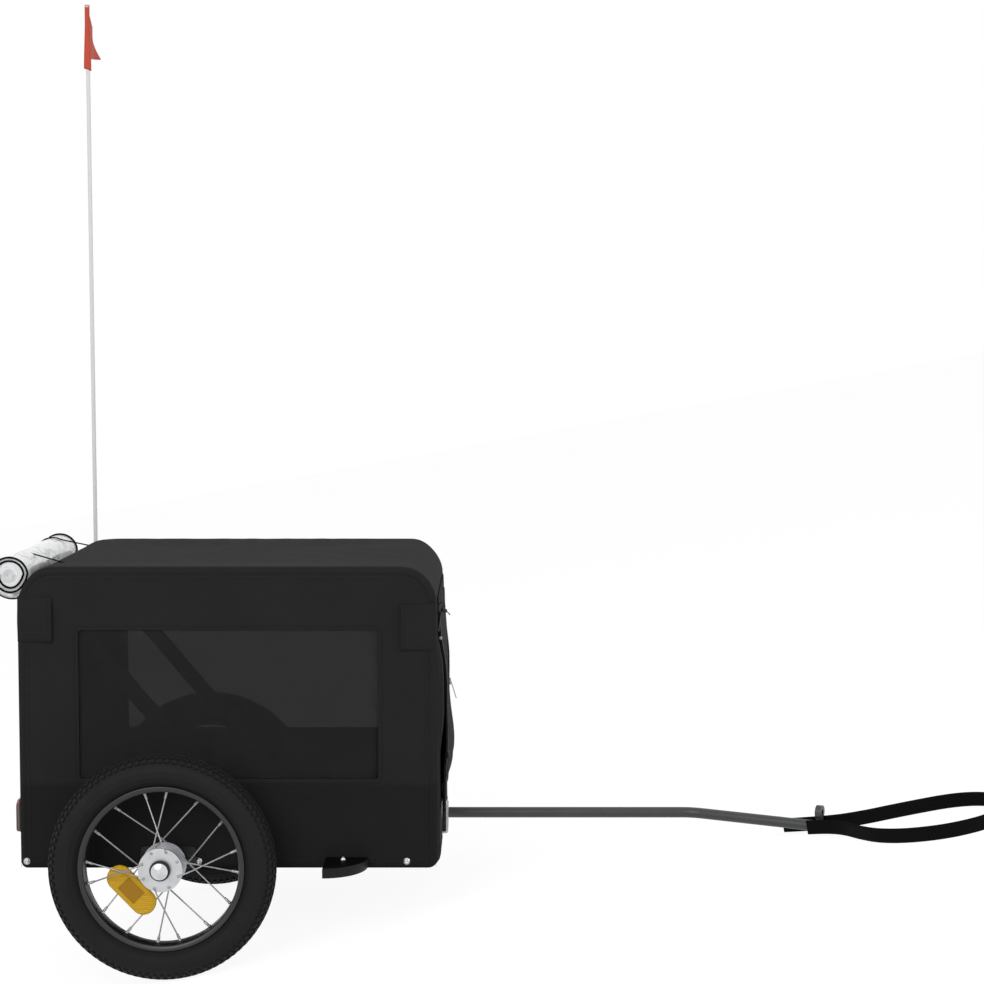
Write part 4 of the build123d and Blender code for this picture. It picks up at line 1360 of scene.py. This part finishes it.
cord_y = -flap_half + 0.006
toggle_line = smooth_line([Vector((cabin_front + out, cord_y + aside, z)) for out, aside, z in (
    (0.0022, 0, 0.3330), (0.0068, 0, 0.3385), (0.0092, 0, 0.3345), (0.0075, 0, 0.3292), (0.0060, 0, 0.3255),
    (0.0040, 0, 0.3180), (0.0026, -0.004, 0.3060), (0.0014, -0.012, 0.2980))])
toggle_at = Vector((cabin_front + 0.0092, cord_y, 0.3262))
toggle_along, toggle_across = Vector((0.86, 0, -0.5)), Vector((0.5, 0, 0.86))
barrel = [[toggle_at + toggle_along * reach + (toggle_across * c + LEFT * s) * radius
           for c, s in circle(14)]
          for reach, radius in ((-0.0045, 0.0014), (-0.0040, 0.0024), (-0.002, 0.0028), (0.002, 0.0028),
                                (0.0040, 0.0024), (0.0045, 0.0014))]
cord_tail = [toggle_at + Vector((0.0030, 0, -0.0018)), toggle_at + Vector((0.0062, 0.0004, -0.0042)),
             toggle_at + Vector((0.0082, 0.0002, -0.0068))]
toggle = joined([round_cord(toggle_line, 0.0011, LEFT), solid(barrel),
                 round_cord(cord_tail, 0.0007, LEFT)])
piece("toggle_cord", toggle, plastic, "chassis")
spot = Vector((cabin_front + 0.0048, -flap_half - 0.0006, 0.289))
spot_rows = [[spot + Vector((r * c, -out, r * s)) for c, s in circle(16)]
             for r, out in ((0.0021, -0.0012), (0.0021, 0.0004), (0.0016, 0.0010), (0.0007, 0.0012))]
piece("cord_rivet", solid(spot_rows), pale, "front_door")

# ---- Rear door ----
# A cloth frame round a panel of open mesh, sewn to the rear wall along its foot and closed round
# its sides and top by a zip. It drops down and back to let the animal in.
door_half = door_box[1].y
door_foot, door_top = door_box[0].z, door_box[1].z
door_frame = 0.034
door_face = door_box[0].x
door_hinge = ("chassis", "rear_hatch", (cabin_rear, 0, door_foot + 0.001),
              (cabin_rear, 0, door_foot + 0.030))
net_half = door_half - door_lap - door_frame
net_low, net_high = door_foot + door_lap + door_frame, door_top - door_lap - door_frame


def door_sag(y, z):
    """How far the door's cloth stands in from flat."""
    edge = min(door_half - abs(y), z - door_foot, door_top - z)
    return smooth_step(edge, 0.004, 0.03) * slack(y, z, 6.6, 0.0003, 20.0)


def on_door(y, z, depth):
    """A point of the rear door's cloth, depth below its outer face."""
    return Vector((door_face + depth + door_sag(y, z), y, z))


def on_door_net(y, z, depth):
    """A point of the door's mesh, a little slack in its middle."""
    edge = min(net_half - abs(y), z - net_low, net_high - z)
    sag = smooth_step(edge, 0, 0.06) * slack(y, z, 9.2, 0.0006, 12.0)
    return Vector((door_face + 0.0010 + depth + sag, y, z))


door_outer = ring(-door_half, door_half, door_foot, door_top, [0.030] * 4)
net_outline = ring(-net_half, net_half, net_low, net_high, [0.010] * 4)
door_grid = quads(between_rings(door_outer, net_outline, spread(0, 1, 8)), close_columns=True)
bent_between("rear_door_cloth", cloth([door_grid], on_door, 0.0016), oxford, *door_hinge,
             stands_for="rear_door")
net_edge = ring(-net_half - 0.006, net_half + 0.006, net_low - 0.006, net_high + 0.006, [0.014] * 4)
piece("rear_door_net", cloth([net_grid(net_edge)], on_door_net, 0.0005), knit, "rear_hatch",
      stands_for="rear_mesh")

zip_route = ring(-door_half + 0.009, door_half - 0.009, door_foot + 0.008, door_top - 0.009, [0.022] * 4)
door_zip = [(y, z) for y, z in zip_route if z > door_foot + 0.030]
breaks = [k for k in range(len(door_zip)) if abs(door_zip[k][0] - door_zip[k - 1][0]) > door_half]
door_zip = door_zip[breaks[0]:] + door_zip[:breaks[0]]
zip_line = [on_door(y, z, -0.0004) for y, z in door_zip]
zip_tape = swept(zip_line, round_outline(0.0130, 0.0009, 0.0004), -AHEAD)
door_teeth, reach, travelled = [], 0.004, 0.0
for start, end in zip(zip_line, zip_line[1:]):
    run = (end - start).length
    while reach < travelled + run:
        here = start.lerp(end, (reach - travelled) / run)
        along = (end - start).normalized()
        across = along.cross(-AHEAD)
        door_teeth.append(zip_tooth(lambda aside, onward, up: (
            here + along * onward + across * aside + Vector((-0.0002 - up, 0, 0)))))
        reach += tooth_pitch
    travelled += run
piece("rear_door_zip", zip_tape, webbing, "rear_hatch")
piece("rear_door_zip_teeth", joined(door_teeth), plastic, "rear_hatch")
door_seams = [[on_door(y, z, -0.0002) for y, z in ring(-half, half, low, high, [radius] * 4)]
              for half, low, high, radius in ((net_half + 0.004, net_low - 0.004, net_high + 0.004, 0.013),
                                              (net_half + 0.010, net_low - 0.010, net_high + 0.010, 0.018))]
bent_between("rear_door_stitches", joined([stitches(line, -AHEAD, close=True) for line in door_seams]),
             thread, *door_hinge)
for side_name, side in SIDES.items():
    y, z = side * (door_half - 0.009), door_foot + 0.036
    x = on_door(y, z, 0).x
    pull = joined([flat_plate((x - 0.0044, y - 0.0045, z - 0.006), (x - 0.0014, y + 0.0045, z + 0.006)),
                   flat_plate((x - 0.0050, y - 0.0028, z - 0.030), (x - 0.0036, y + 0.0028, z - 0.002))])
    piece(f"rear_zip_pull_{side_name}", pull, pale, "rear_hatch")

# ---- Rolled clear cover ----
# A rain cover of clear vinyl, sewn along the top of the rear wall and rolled up over the corner above
# it. Its edges are bound with black piping, which winds into both ends; two elastic loops hold the roll.
roll_low, roll_high = level_box("rolled_cover")
roll_x, roll_z = (roll_low.x + roll_high.x) / 2, (roll_low.z + roll_high.z) / 2 - 0.0044
roll_half = roll_high.y
roll_turns = [(67, 0.0330), (90, 0.0317), (110, 0.0302), (180, 0.0266), (270, 0.0242), (360, 0.0238),
              (450, 0.0232), (540, 0.0212), (630, 0.0196), (720, 0.0184), (810, 0.0172), (900, 0.0148),
              (1080, 0.0098), (1440, 0.0076), (2160, 0.0032)]
bound_turn = 905
vinyl_thick = 0.0005


def roll_radius(turn):
    """The roll's radius at a turn in degrees, from its sewn edge inwards."""
    total = 0.0
    for shift in (-24, -12, 0, 12, 24):
        at = min(max(turn + shift, roll_turns[0][0]), roll_turns[-1][0])
        k = next(k for k in range(1, len(roll_turns)) if at <= roll_turns[k][0])
        (turn0, r0), (turn1, r1) = roll_turns[k - 1], roll_turns[k]
        total += r0 + (r1 - r0) * (at - turn0) / (turn1 - turn0)
    return total / 5


def on_roll(turn, y, depth):
    """A point of the rolled sheet, depth below its face: turn runs from straight ahead down and rearwards."""
    tight = 1 - sum(pinch * math.exp(-((y - loop) / 0.016) ** 2)
                    for loop, pinch in ((-0.075, 0.15), (0.125, 0.02)))
    loose = smooth_step(roll_half - abs(y), 0.0, 0.03) * smooth_step(900 - turn, 0, 300)
    loose *= smooth_step(turn, 67, 120)
    fold = 0.0007 * noise.noise(Vector((turn / 21.0, y * 6.5, 3.1))) - 0.0006
    pressed = 0.0018 * math.exp(-((turn % 360 - 31) / 36) ** 2) * smooth_step(abs(y), 0.150, 0.172)
    radius = roll_radius(turn) * tight + loose * fold - depth - pressed * smooth_step(turn, 200, 300)
    angle = -math.radians(turn)
    askew = y / roll_half
    return Vector((roll_x - 0.0024 * askew + radius * math.cos(angle), y,
                   roll_z - 0.0008 * askew + radius * math.sin(angle)))


# The vinyl glows faintly in its own colour: painted light that stands in for light coming through the clear sheet.
vinyl = Finish("clear_vinyl", paint(224, 225, 226), 0.14, Specular_IOR_Level=0.6, Emission_Strength=0.22)
vinyl_place = vinyl.place()
vinyl_x, vinyl_y, vinyl_z = vinyl.axes(vinyl_place)
from_core = ((vinyl_x - roll_x) * (vinyl_x - roll_x) + (vinyl_z - roll_z) * (vinyl_z - roll_z)) ** 0.5
mottle = vinyl.speckle(vinyl_place, 17, 2.0, (1, 0.55, 1))
# Grey patches low on the roll are painted reflections of the dark cabin cloth beside them.
low_side = (roll_z + 0.012 - vinyl_z).between(0.0, 0.014) * (vinyl_z - roll_z + 0.012).between(0.0, 0.010)
painted_roof_reflection = mottle.between(0.40, 0.55) * low_side * (0.165 - vinyl_y.size()).between(0.0, 0.01)
haze = vinyl.speckle(vinyl_place, 60, 3.0, (1, 0.3, 1))
clear_tone = vinyl.mix(haze, paint(214, 215, 216), paint(240, 241, 242))
# Thin grey lines along the folds are painted shade in the creases of the sheet.
painted_crease_shade = vinyl.speckle(vinyl_place, 24, 2.0, (1, 0.5, 1))
painted_crease_shade = painted_crease_shade.between(0.470, 0.495) * (0.53 - painted_crease_shade).between(0.0, 0.025) * (vinyl_y.size() < 0.174)
clear_tone = vinyl.mix(painted_roof_reflection * 0.85, clear_tone, paint(112, 113, 114))
clear_tone = vinyl.mix(painted_crease_shade * 0.55, clear_tone, paint(128, 129, 130))
vinyl.coat(Base_Color=vinyl.mix((from_core < 0.0095) * 0.8, clear_tone, paint(196, 197, 198)),
           Emission_Color=clear_tone, Roughness=0.10 + haze * 0.12)
vinyl.relief(vinyl.speckle(vinyl_place, 90, 2.0, (1, 0.2, 1)), 0.0012, 0.6)

turns = [67 + 11 * k for k in range(int((2160 - 67) / 11) + 1)]
roll_grid = quads([[(turn, y) for turn in turns] for y in spread(-roll_half, roll_half, 44)])
vinyl_roll = piece("vinyl_roll", cloth([roll_grid], on_roll, vinyl_thick), vinyl, "chassis",
                   stands_for="rolled_cover")
rolled_length = sum((on_roll(b, 0, 0) - on_roll(a, 0, 0)).length for a, b in zip(turns, turns[1:]))
packed_rows = []
lap_rows = []
for y, shrink in ((-0.1782, 0.30), (-0.1790, 0.7), (-0.1784, 0.97), (-0.174, 1.0),
                  (0.174, 1.0), (0.1784, 0.97), (0.1790, 0.7), (0.1782, 0.30)):
    packed_rows.append([on_roll(235 + 10 * k, y, 0.0019 + (1 - shrink) * 0.022) for k in range(36)])
for y, thin in ((-0.1784, 0.0012), (-0.176, 0.0006), (0.176, 0.0006), (0.1784, 0.0012)):
    lap_rows.append([on_roll(80 + 11 * k, y, thin) for k in range(15)]
                    + [on_roll(594 - 11 * k, y, -thin + 0.0004) for k in range(15)])
piece("roll_core", joined([solid(packed_rows), solid(lap_rows)]), vinyl, "chassis")
piping_parts = []
for end, thick, sunk in ((-1, 0.00145, 0.0004), (1, 0.0023, 0.0)):
    bound = [on_roll(turn, end * roll_half, sunk) for turn in range(67, bound_turn, 9)]
    piping_parts += [round_cord(bound[:19], thick * 0.7, LEFT), round_cord(bound[18:], thick, LEFT)]
piping = piece("roll_piping", joined(piping_parts), webbing, "chassis")

loops = []
for y, anchor_x, anchor_y, rise in ((-0.075, 0.0495, -0.118, -0.0020), (0.125, 0.0320, 0.183, -0.0075)):
    over = [on_roll(turn, y, -0.0013) for turn in range(296, 67 + 18, -8)]
    anchor = Vector((cabin_rear + anchor_x, anchor_y, cabin_top + rise))
    to_roof = [anchor.lerp(over[0], share) for share in (0, 0.35, 0.7)]
    hook = Vector((cabin_rear - 0.0012, y, roll_z - 0.0345))
    loops.append(round_cord(smooth_line(to_roof + over + [hook]), 0.001, LEFT))
piece("roll_elastic", joined(loops), webbing, "chassis")

# ---- Hitch bracket bushes ----
# Two black rubber bushes fill the gap between the bracket's legs, one on either side of the drop pin,
# and keep the drawbar's tongue from rattling.
bracket_low, bracket_high = level_box("hitch_bracket")
leg_thick = 0.003
rubber_bush = []
for side in SIDES.values():
    near_y, far_y = sorted((side * 0.0050, side * (bracket_high.y - 0.0020)))
    rubber_bush.append(flat_plate((bracket_low.x + leg_thick, near_y, bracket_low.z + 0.004),
                                  (bracket_high.x - leg_thick, far_y, bracket_high.z - 0.004)))
piece("bracket_bushes", joined(rubber_bush), plastic, "chassis")

# ---- Wheel guards and side bolts ----
# A moulded black tray fends brush off ahead of each wheel: a flat quarter round with a rim hanging down
# all round it, held by a domed screw. Three plated screws on each side hold the cloth to its base rail.
guard_low, guard_high = level_box("wheel_guard_left")
guard_rear = guard_low.x + 0.0035
guard_long, guard_reach = guard_high.x - guard_rear, guard_high.y - guard_low.y
guard_rim = 0.0140
rim_thick = 0.0025

guard_plastic = Finish("guard_plastic", paint(30), 0.45, "black_plastic", Specular_IOR_Level=0.14)
guard_place = guard_plastic.place()
_, guard_y, guard_z = guard_plastic.axes(guard_place)
guard_scuffs = guard_plastic.speckle(guard_place, 160, 3.0, (1, 1, 0.4))
# The tray's upper face is painted near black: a painted reflection of the dark cloth wall above it.
painted_dark_top = (guard_z > -0.0012) * (guard_y.size() > cabin_half)
scuffed_tone = guard_plastic.mix(guard_scuffs, paint(24), paint(40))
guard_plastic.coat(Base_Color=guard_plastic.mix(painted_dark_top, scuffed_tone, paint(2)),
                   Roughness=0.36 + guard_scuffs * 0.25)
guard_plastic.relief(guard_plastic.speckle(guard_place, 1100, 1.0), 0.00008, 0.4)


def guard_outline(inset, steps=26):
    """The tray's quarter round, drawn in by inset, from its corner at the wall."""
    long, reach = guard_long - inset, guard_reach - inset
    first, last = math.asin(inset / reach), math.acos(inset / long)
    arc = [first + (last - first) * k / steps for k in range(steps + 1)]
    return [(inset, inset)] + [(long * math.cos(a), reach * math.sin(a)) for a in arc]


tray_layers = ((0.0030, 0.0000), (0.0012, 0.0001), (0.0003, 0.0006), (0.0, 0.0014),
               (0.0, guard_rim - 0.0006), (0.0006, guard_rim), (rim_thick - 0.0006, guard_rim),
               (rim_thick, guard_rim - 0.0006), (rim_thick, 0.0026))
for side_name, side in SIDES.items():
    rows = [[Vector((guard_rear + x, side * (guard_low.y + y), guard_high.z - down))
             for x, y in guard_outline(inset)] for inset, down in tray_layers]
    piece(f"guard_tray_{side_name}", solid(rows), guard_plastic, "chassis",
          smooth=False, stands_for=f"wheel_guard_{side_name}")
    screw_x, screw_y = guard_rear + 0.0242, guard_low.y + 0.0140
    upright = [Vector((p.x + screw_x, side * (p.z + screw_y), p.y + guard_high.z))
               for p in bolt(0, 0, 0, 1, 0.0034, 0.0030)[0]]
    guard_screw = (upright, bolt(0, 0, 0, 1)[1])
    side_bolts = [bolt(x, side * cabin_half, -0.0060, side, 0.0035, 0.0024)
                  for x in (-0.1898, 0.0399, 0.3184)]
    piece(f"side_bolts_{side_name}", joined([guard_screw] + side_bolts), plated, "chassis")

# ---- Rear reflectors ----
# Two upright red reflectors riveted low on the rear wall: a prismed acrylic lens, rounded off at its
# top, in a clear edge and on a black plastic base.
red = Finish("red_lens", paint(120, 22, 34), 0.14, Coat_Weight=0.6, Coat_Roughness=0.06)
red_place = red.place()
red_x, red_y, red_z = red.axes(red_place)
lens_box = level_box("rear_reflector_left")
base_x, face_x = lens_box[1].x, lens_box[0].x
red_cells = red_y.waves(0.0032) * red_z.waves(0.0032)
# The lens's rounded top is painted pale pink: a painted highlight where it catches the light.
painted_red_highlight = (red_z - lens_box[1].z + 0.0070).between(0.0, 0.003)
red_edge = (red_x > base_x - 0.0036) * (red_z < lens_box[1].z - 0.0050)
red_tone = red.mix(red_cells * 0.4 + 0.5, paint(62, 16, 20), paint(96, 26, 32))
red_tone = red.mix(red_edge, red_tone, paint(104, 88, 78))
red.coat(Base_Color=red.mix(painted_red_highlight, red_tone, paint(176, 70, 96)))
red.relief(red_cells, 0.0005, 0.5)
for side_name, side in SIDES.items():
    low, high = level_box(f"rear_reflector_{side_name}")
    middle_y, middle_z = (low.y + high.y) / 2, (low.z + high.z) / 2
    wide, tall = high.y - low.y, high.z - low.z

    def lens_rows(profile):
        """Upright round-cornered outlines stacked out from the wall, each drawn in by its inset."""
        return solid([[Vector((x, middle_y + u, middle_z + v - lean * (v + tall / 2) / tall))
                       for u, v in round_outline(wide - 2 * inset, tall - 2 * inset, 0.004, 5)]
                      for x, inset, lean in profile])

    lens_shell = lens_rows(((base_x - 0.0018, 0.0, 0), (face_x + 0.0024, 0.0, 0),
                            (face_x + 0.0012, 0.0003, 0.0022), (face_x + 0.0004, 0.0010, 0.0044),
                            (face_x, 0.0022, 0.0062)))
    lens_base = lens_rows(((base_x, -0.0004, 0), (base_x - 0.0014, -0.0004, 0),
                           (base_x - 0.0018, 0.0002, 0)))
    piece(f"red_lens_{side_name}", lens_shell, red, "chassis", smooth=False,
          stands_for=f"rear_reflector_{side_name}")
    piece(f"red_lens_base_{side_name}", lens_base, plastic, "chassis", smooth=False)

# ---- Flag pocket ----
# A sleeve of the cabin's cloth, sewn by two flat edges to the left side panel. It is closed at its
# foot and holds the flag pole upright.
pocket_low, pocket_high = level_box("flag_pocket")
pole_low, pole_high = level_box("flag_pole")
pole_r = (pole_high.x - pole_low.x) / 2
pole_y = (pole_low.y + pole_high.y) / 2
pocket_r = 0.0053
pocket_edge = 0.009
pocket_thick = 0.0011
pocket_shut = 0.010


def pole_x(z):
    """Where the pole's middle is along the trailer at a height: it leans a little to the rear."""
    lean = 0.0018 + 0.0036 * (z - pole_low.z) / (pole_high.z - pole_low.z)
    return (pole_low.x + pole_high.x) / 2 - lean


def on_pocket(a, z, depth):
    """A point of the sleeve, a round its half circle from the middle and on along its flat edges."""
    open_share = smooth_step(z, pocket_low.z - 0.002, pocket_low.z + pocket_shut)
    quarter, upright = pocket_r * math.pi / 2, pole_y - cabin_half - pocket_thick
    if abs(a) < quarter:
        angle = a / pocket_r
        x = (pocket_r - depth) * math.sin(angle)
        out = pole_y - cabin_half + (pocket_r - depth) * math.cos(angle)
    elif abs(a) < quarter + upright:
        x, out = math.copysign(pocket_r - depth, a), pole_y - cabin_half - (abs(a) - quarter)
    else:
        x, out = math.copysign(pocket_r + abs(a) - quarter - upright, a), pocket_thick - depth
    flat = pocket_thick - depth
    y = cabin_half + 0.0002 + flat + (out - flat) * (0.12 + 0.88 * open_share)
    return Vector((pole_x(z) + x, y, z))


pocket_reach = pocket_r * math.pi / 2 + pole_y - cabin_half - pocket_thick + pocket_edge
pocket_places = spread(-pocket_reach, pocket_reach, 48)
pocket_grid = quads([[(a, z) for a in pocket_places]
                     for z in spread(pocket_low.z - 0.006, pocket_high.z, 60)])
piece("flag_sleeve_pocket", cloth([pocket_grid], on_pocket, pocket_thick), oxford, "chassis",
      stands_for="flag_pocket")
pocket_lines = [[on_pocket(way * (pocket_reach - inset), z, -0.0001)
                 for z in spread(pocket_low.z, pocket_high.z - 0.002, 40)]
                for way in (1, -1) for inset in (0.0025, 0.0065)]
pocket_lines.append([on_pocket(a, pocket_low.z - 0.003, -0.0001) for a in pocket_places[1:-1]])
piece("flag_pocket_stitches", joined([stitches(line, LEFT) for line in pocket_lines]), thread, "chassis")

# ---- Flag pole ----
# A 6 mm rod of white glass fibre, with faint lengthwise grain. It stands in the pocket and leans a few
# millimetres to the rear over its length.
fibreglass = mottled("white_fibreglass", (paint(240, 241, 242), paint(252)), (900, 2.0, (1, 1, 0.02)),
                     (0.28, 0.2), strength=0.3, Specular_IOR_Level=0.5)


def pole_axis(z):
    """The middle of the pole at a height."""
    return Vector((pole_x(z), pole_y, z))


pole_line = [pole_axis(z) for z in spread(pole_low.z, pole_high.z - 0.001, 40)]
piece("flag_rod", round_cord(pole_line, pole_r, LEFT, 20), fibreglass, "chassis", stands_for="flag_pole")

# ---- Flag ----
# An orange-red nylon pennant, folded round the pole and sewn into a sleeve that widens downwards. Its
# point hangs back from the sleeve in a soft fold.
flag_high = level_box("flag")[1]
sleeve_long, sleeve_top, sleeve_foot = 0.0952, 0.0036, 0.0055
pennant_reach = flag_high.y - pole_y - 0.002

flag_nylon = Finish("flag_cloth", paint(206, 84, 62), 0.55, Specular_IOR_Level=0.25)
flag_place = flag_nylon.place()
flag_weave = woven(flag_nylon.axes(flag_place), 0.0006)
flag_clouds = flag_nylon.speckle(flag_place, 60, 3.0, (1, 1, 0.4))
flag_nylon.coat(Base_Color=flag_nylon.mix(flag_clouds, paint(206, 78, 56), paint(230, 98, 76)),
                Roughness=0.5 + flag_clouds * 0.12)
flag_nylon.relief(flag_weave * 0.3 + flag_clouds, 0.0002, 0.4)


def on_sleeve(turn, down, depth):
    """A point of the sleeve, turn about the pole and down from its top, which is sewn flat."""
    drop = down * (sleeve_long + 0.0018 * math.cos(turn))
    shut = smooth_step(drop, -0.0005, 0.005)
    wide = sleeve_top + (sleeve_foot - sleeve_top) * smooth_step(drop, 0.02, sleeve_long) - depth
    deep = (pole_r + 0.0005) * (0.25 + 0.75 * shut) + 0.0004 * drop / sleeve_long - depth
    centre = pole_axis(pole_high.z + 0.0004 - drop)
    shift = -0.0006 * drop / sleeve_long
    return centre + Vector((wide * math.cos(turn) + shift, deep * math.sin(turn), 0))


def on_pennant(u, w, depth):
    """A point of the pennant: u from the sleeve to its point, w from its upper edge to its lower one."""
    drop = (0.0120 + 0.0578 * u) * (1 - w) + (0.0790 - 0.0086 * u) * w
    curl = -0.0035 * math.sin(math.pi * max(0.0, u - 0.3) / 0.7) * (1 - 0.3 * w)
    billow = 0.0010 * math.sin(math.pi * min(1.0, u / 0.6)) * (1 - 0.6 * w)
    x = 0.0026 * (1 - u) + 0.0058 * u ** 2.2 + curl + billow
    y = 0.0012 + pennant_reach * u - depth
    return pole_axis(pole_high.z - drop) + Vector((x, y, 0))


sleeve_rows = [[(2 * math.pi * k / 32, down) for k in range(32)]
               for down in [0, 0.02, 0.05] + spread(0.1, 1, 26)]
sleeve_mesh = cloth([quads(sleeve_rows, close_columns=True)], on_sleeve, 0.0004)
pennant_rows = [[(u, w) for w in spread(0, 1, 26)] for u in spread(0, 0.985, 40)]
pennant_mesh = cloth([quads(pennant_rows)], on_pennant, 0.0004)
flag = piece("flag_pennant", joined([sleeve_mesh, pennant_mesh]), flag_nylon, "chassis", stands_for="flag")

# ---- Floor board ----
# A stiff board in a sewn cover of plain cloth, resting on the base rails. The pet stands on it.
cover, _, cover_share = cloth_finish("floor_cover", 30, "floor_cloth")
cover.coat(Base_Color=cover.mix(cover_share, paint(24), paint(36)))
painted(cover, "floor_board")
board_low, board_high = level_box("floor_board")
board_edge = ring(board_low.x + 0.010, board_high.x - 0.010, board_low.y + 0.010, board_high.y - 0.010,
                  [0.012] * 4)
board_hem = [Vector((x, y, board_high.z + 0.0001)) for x, y in board_edge]
piece("floor_cover_stitches", stitches(board_hem, UP, close=True), thread, "chassis", slot="floor_cloth")
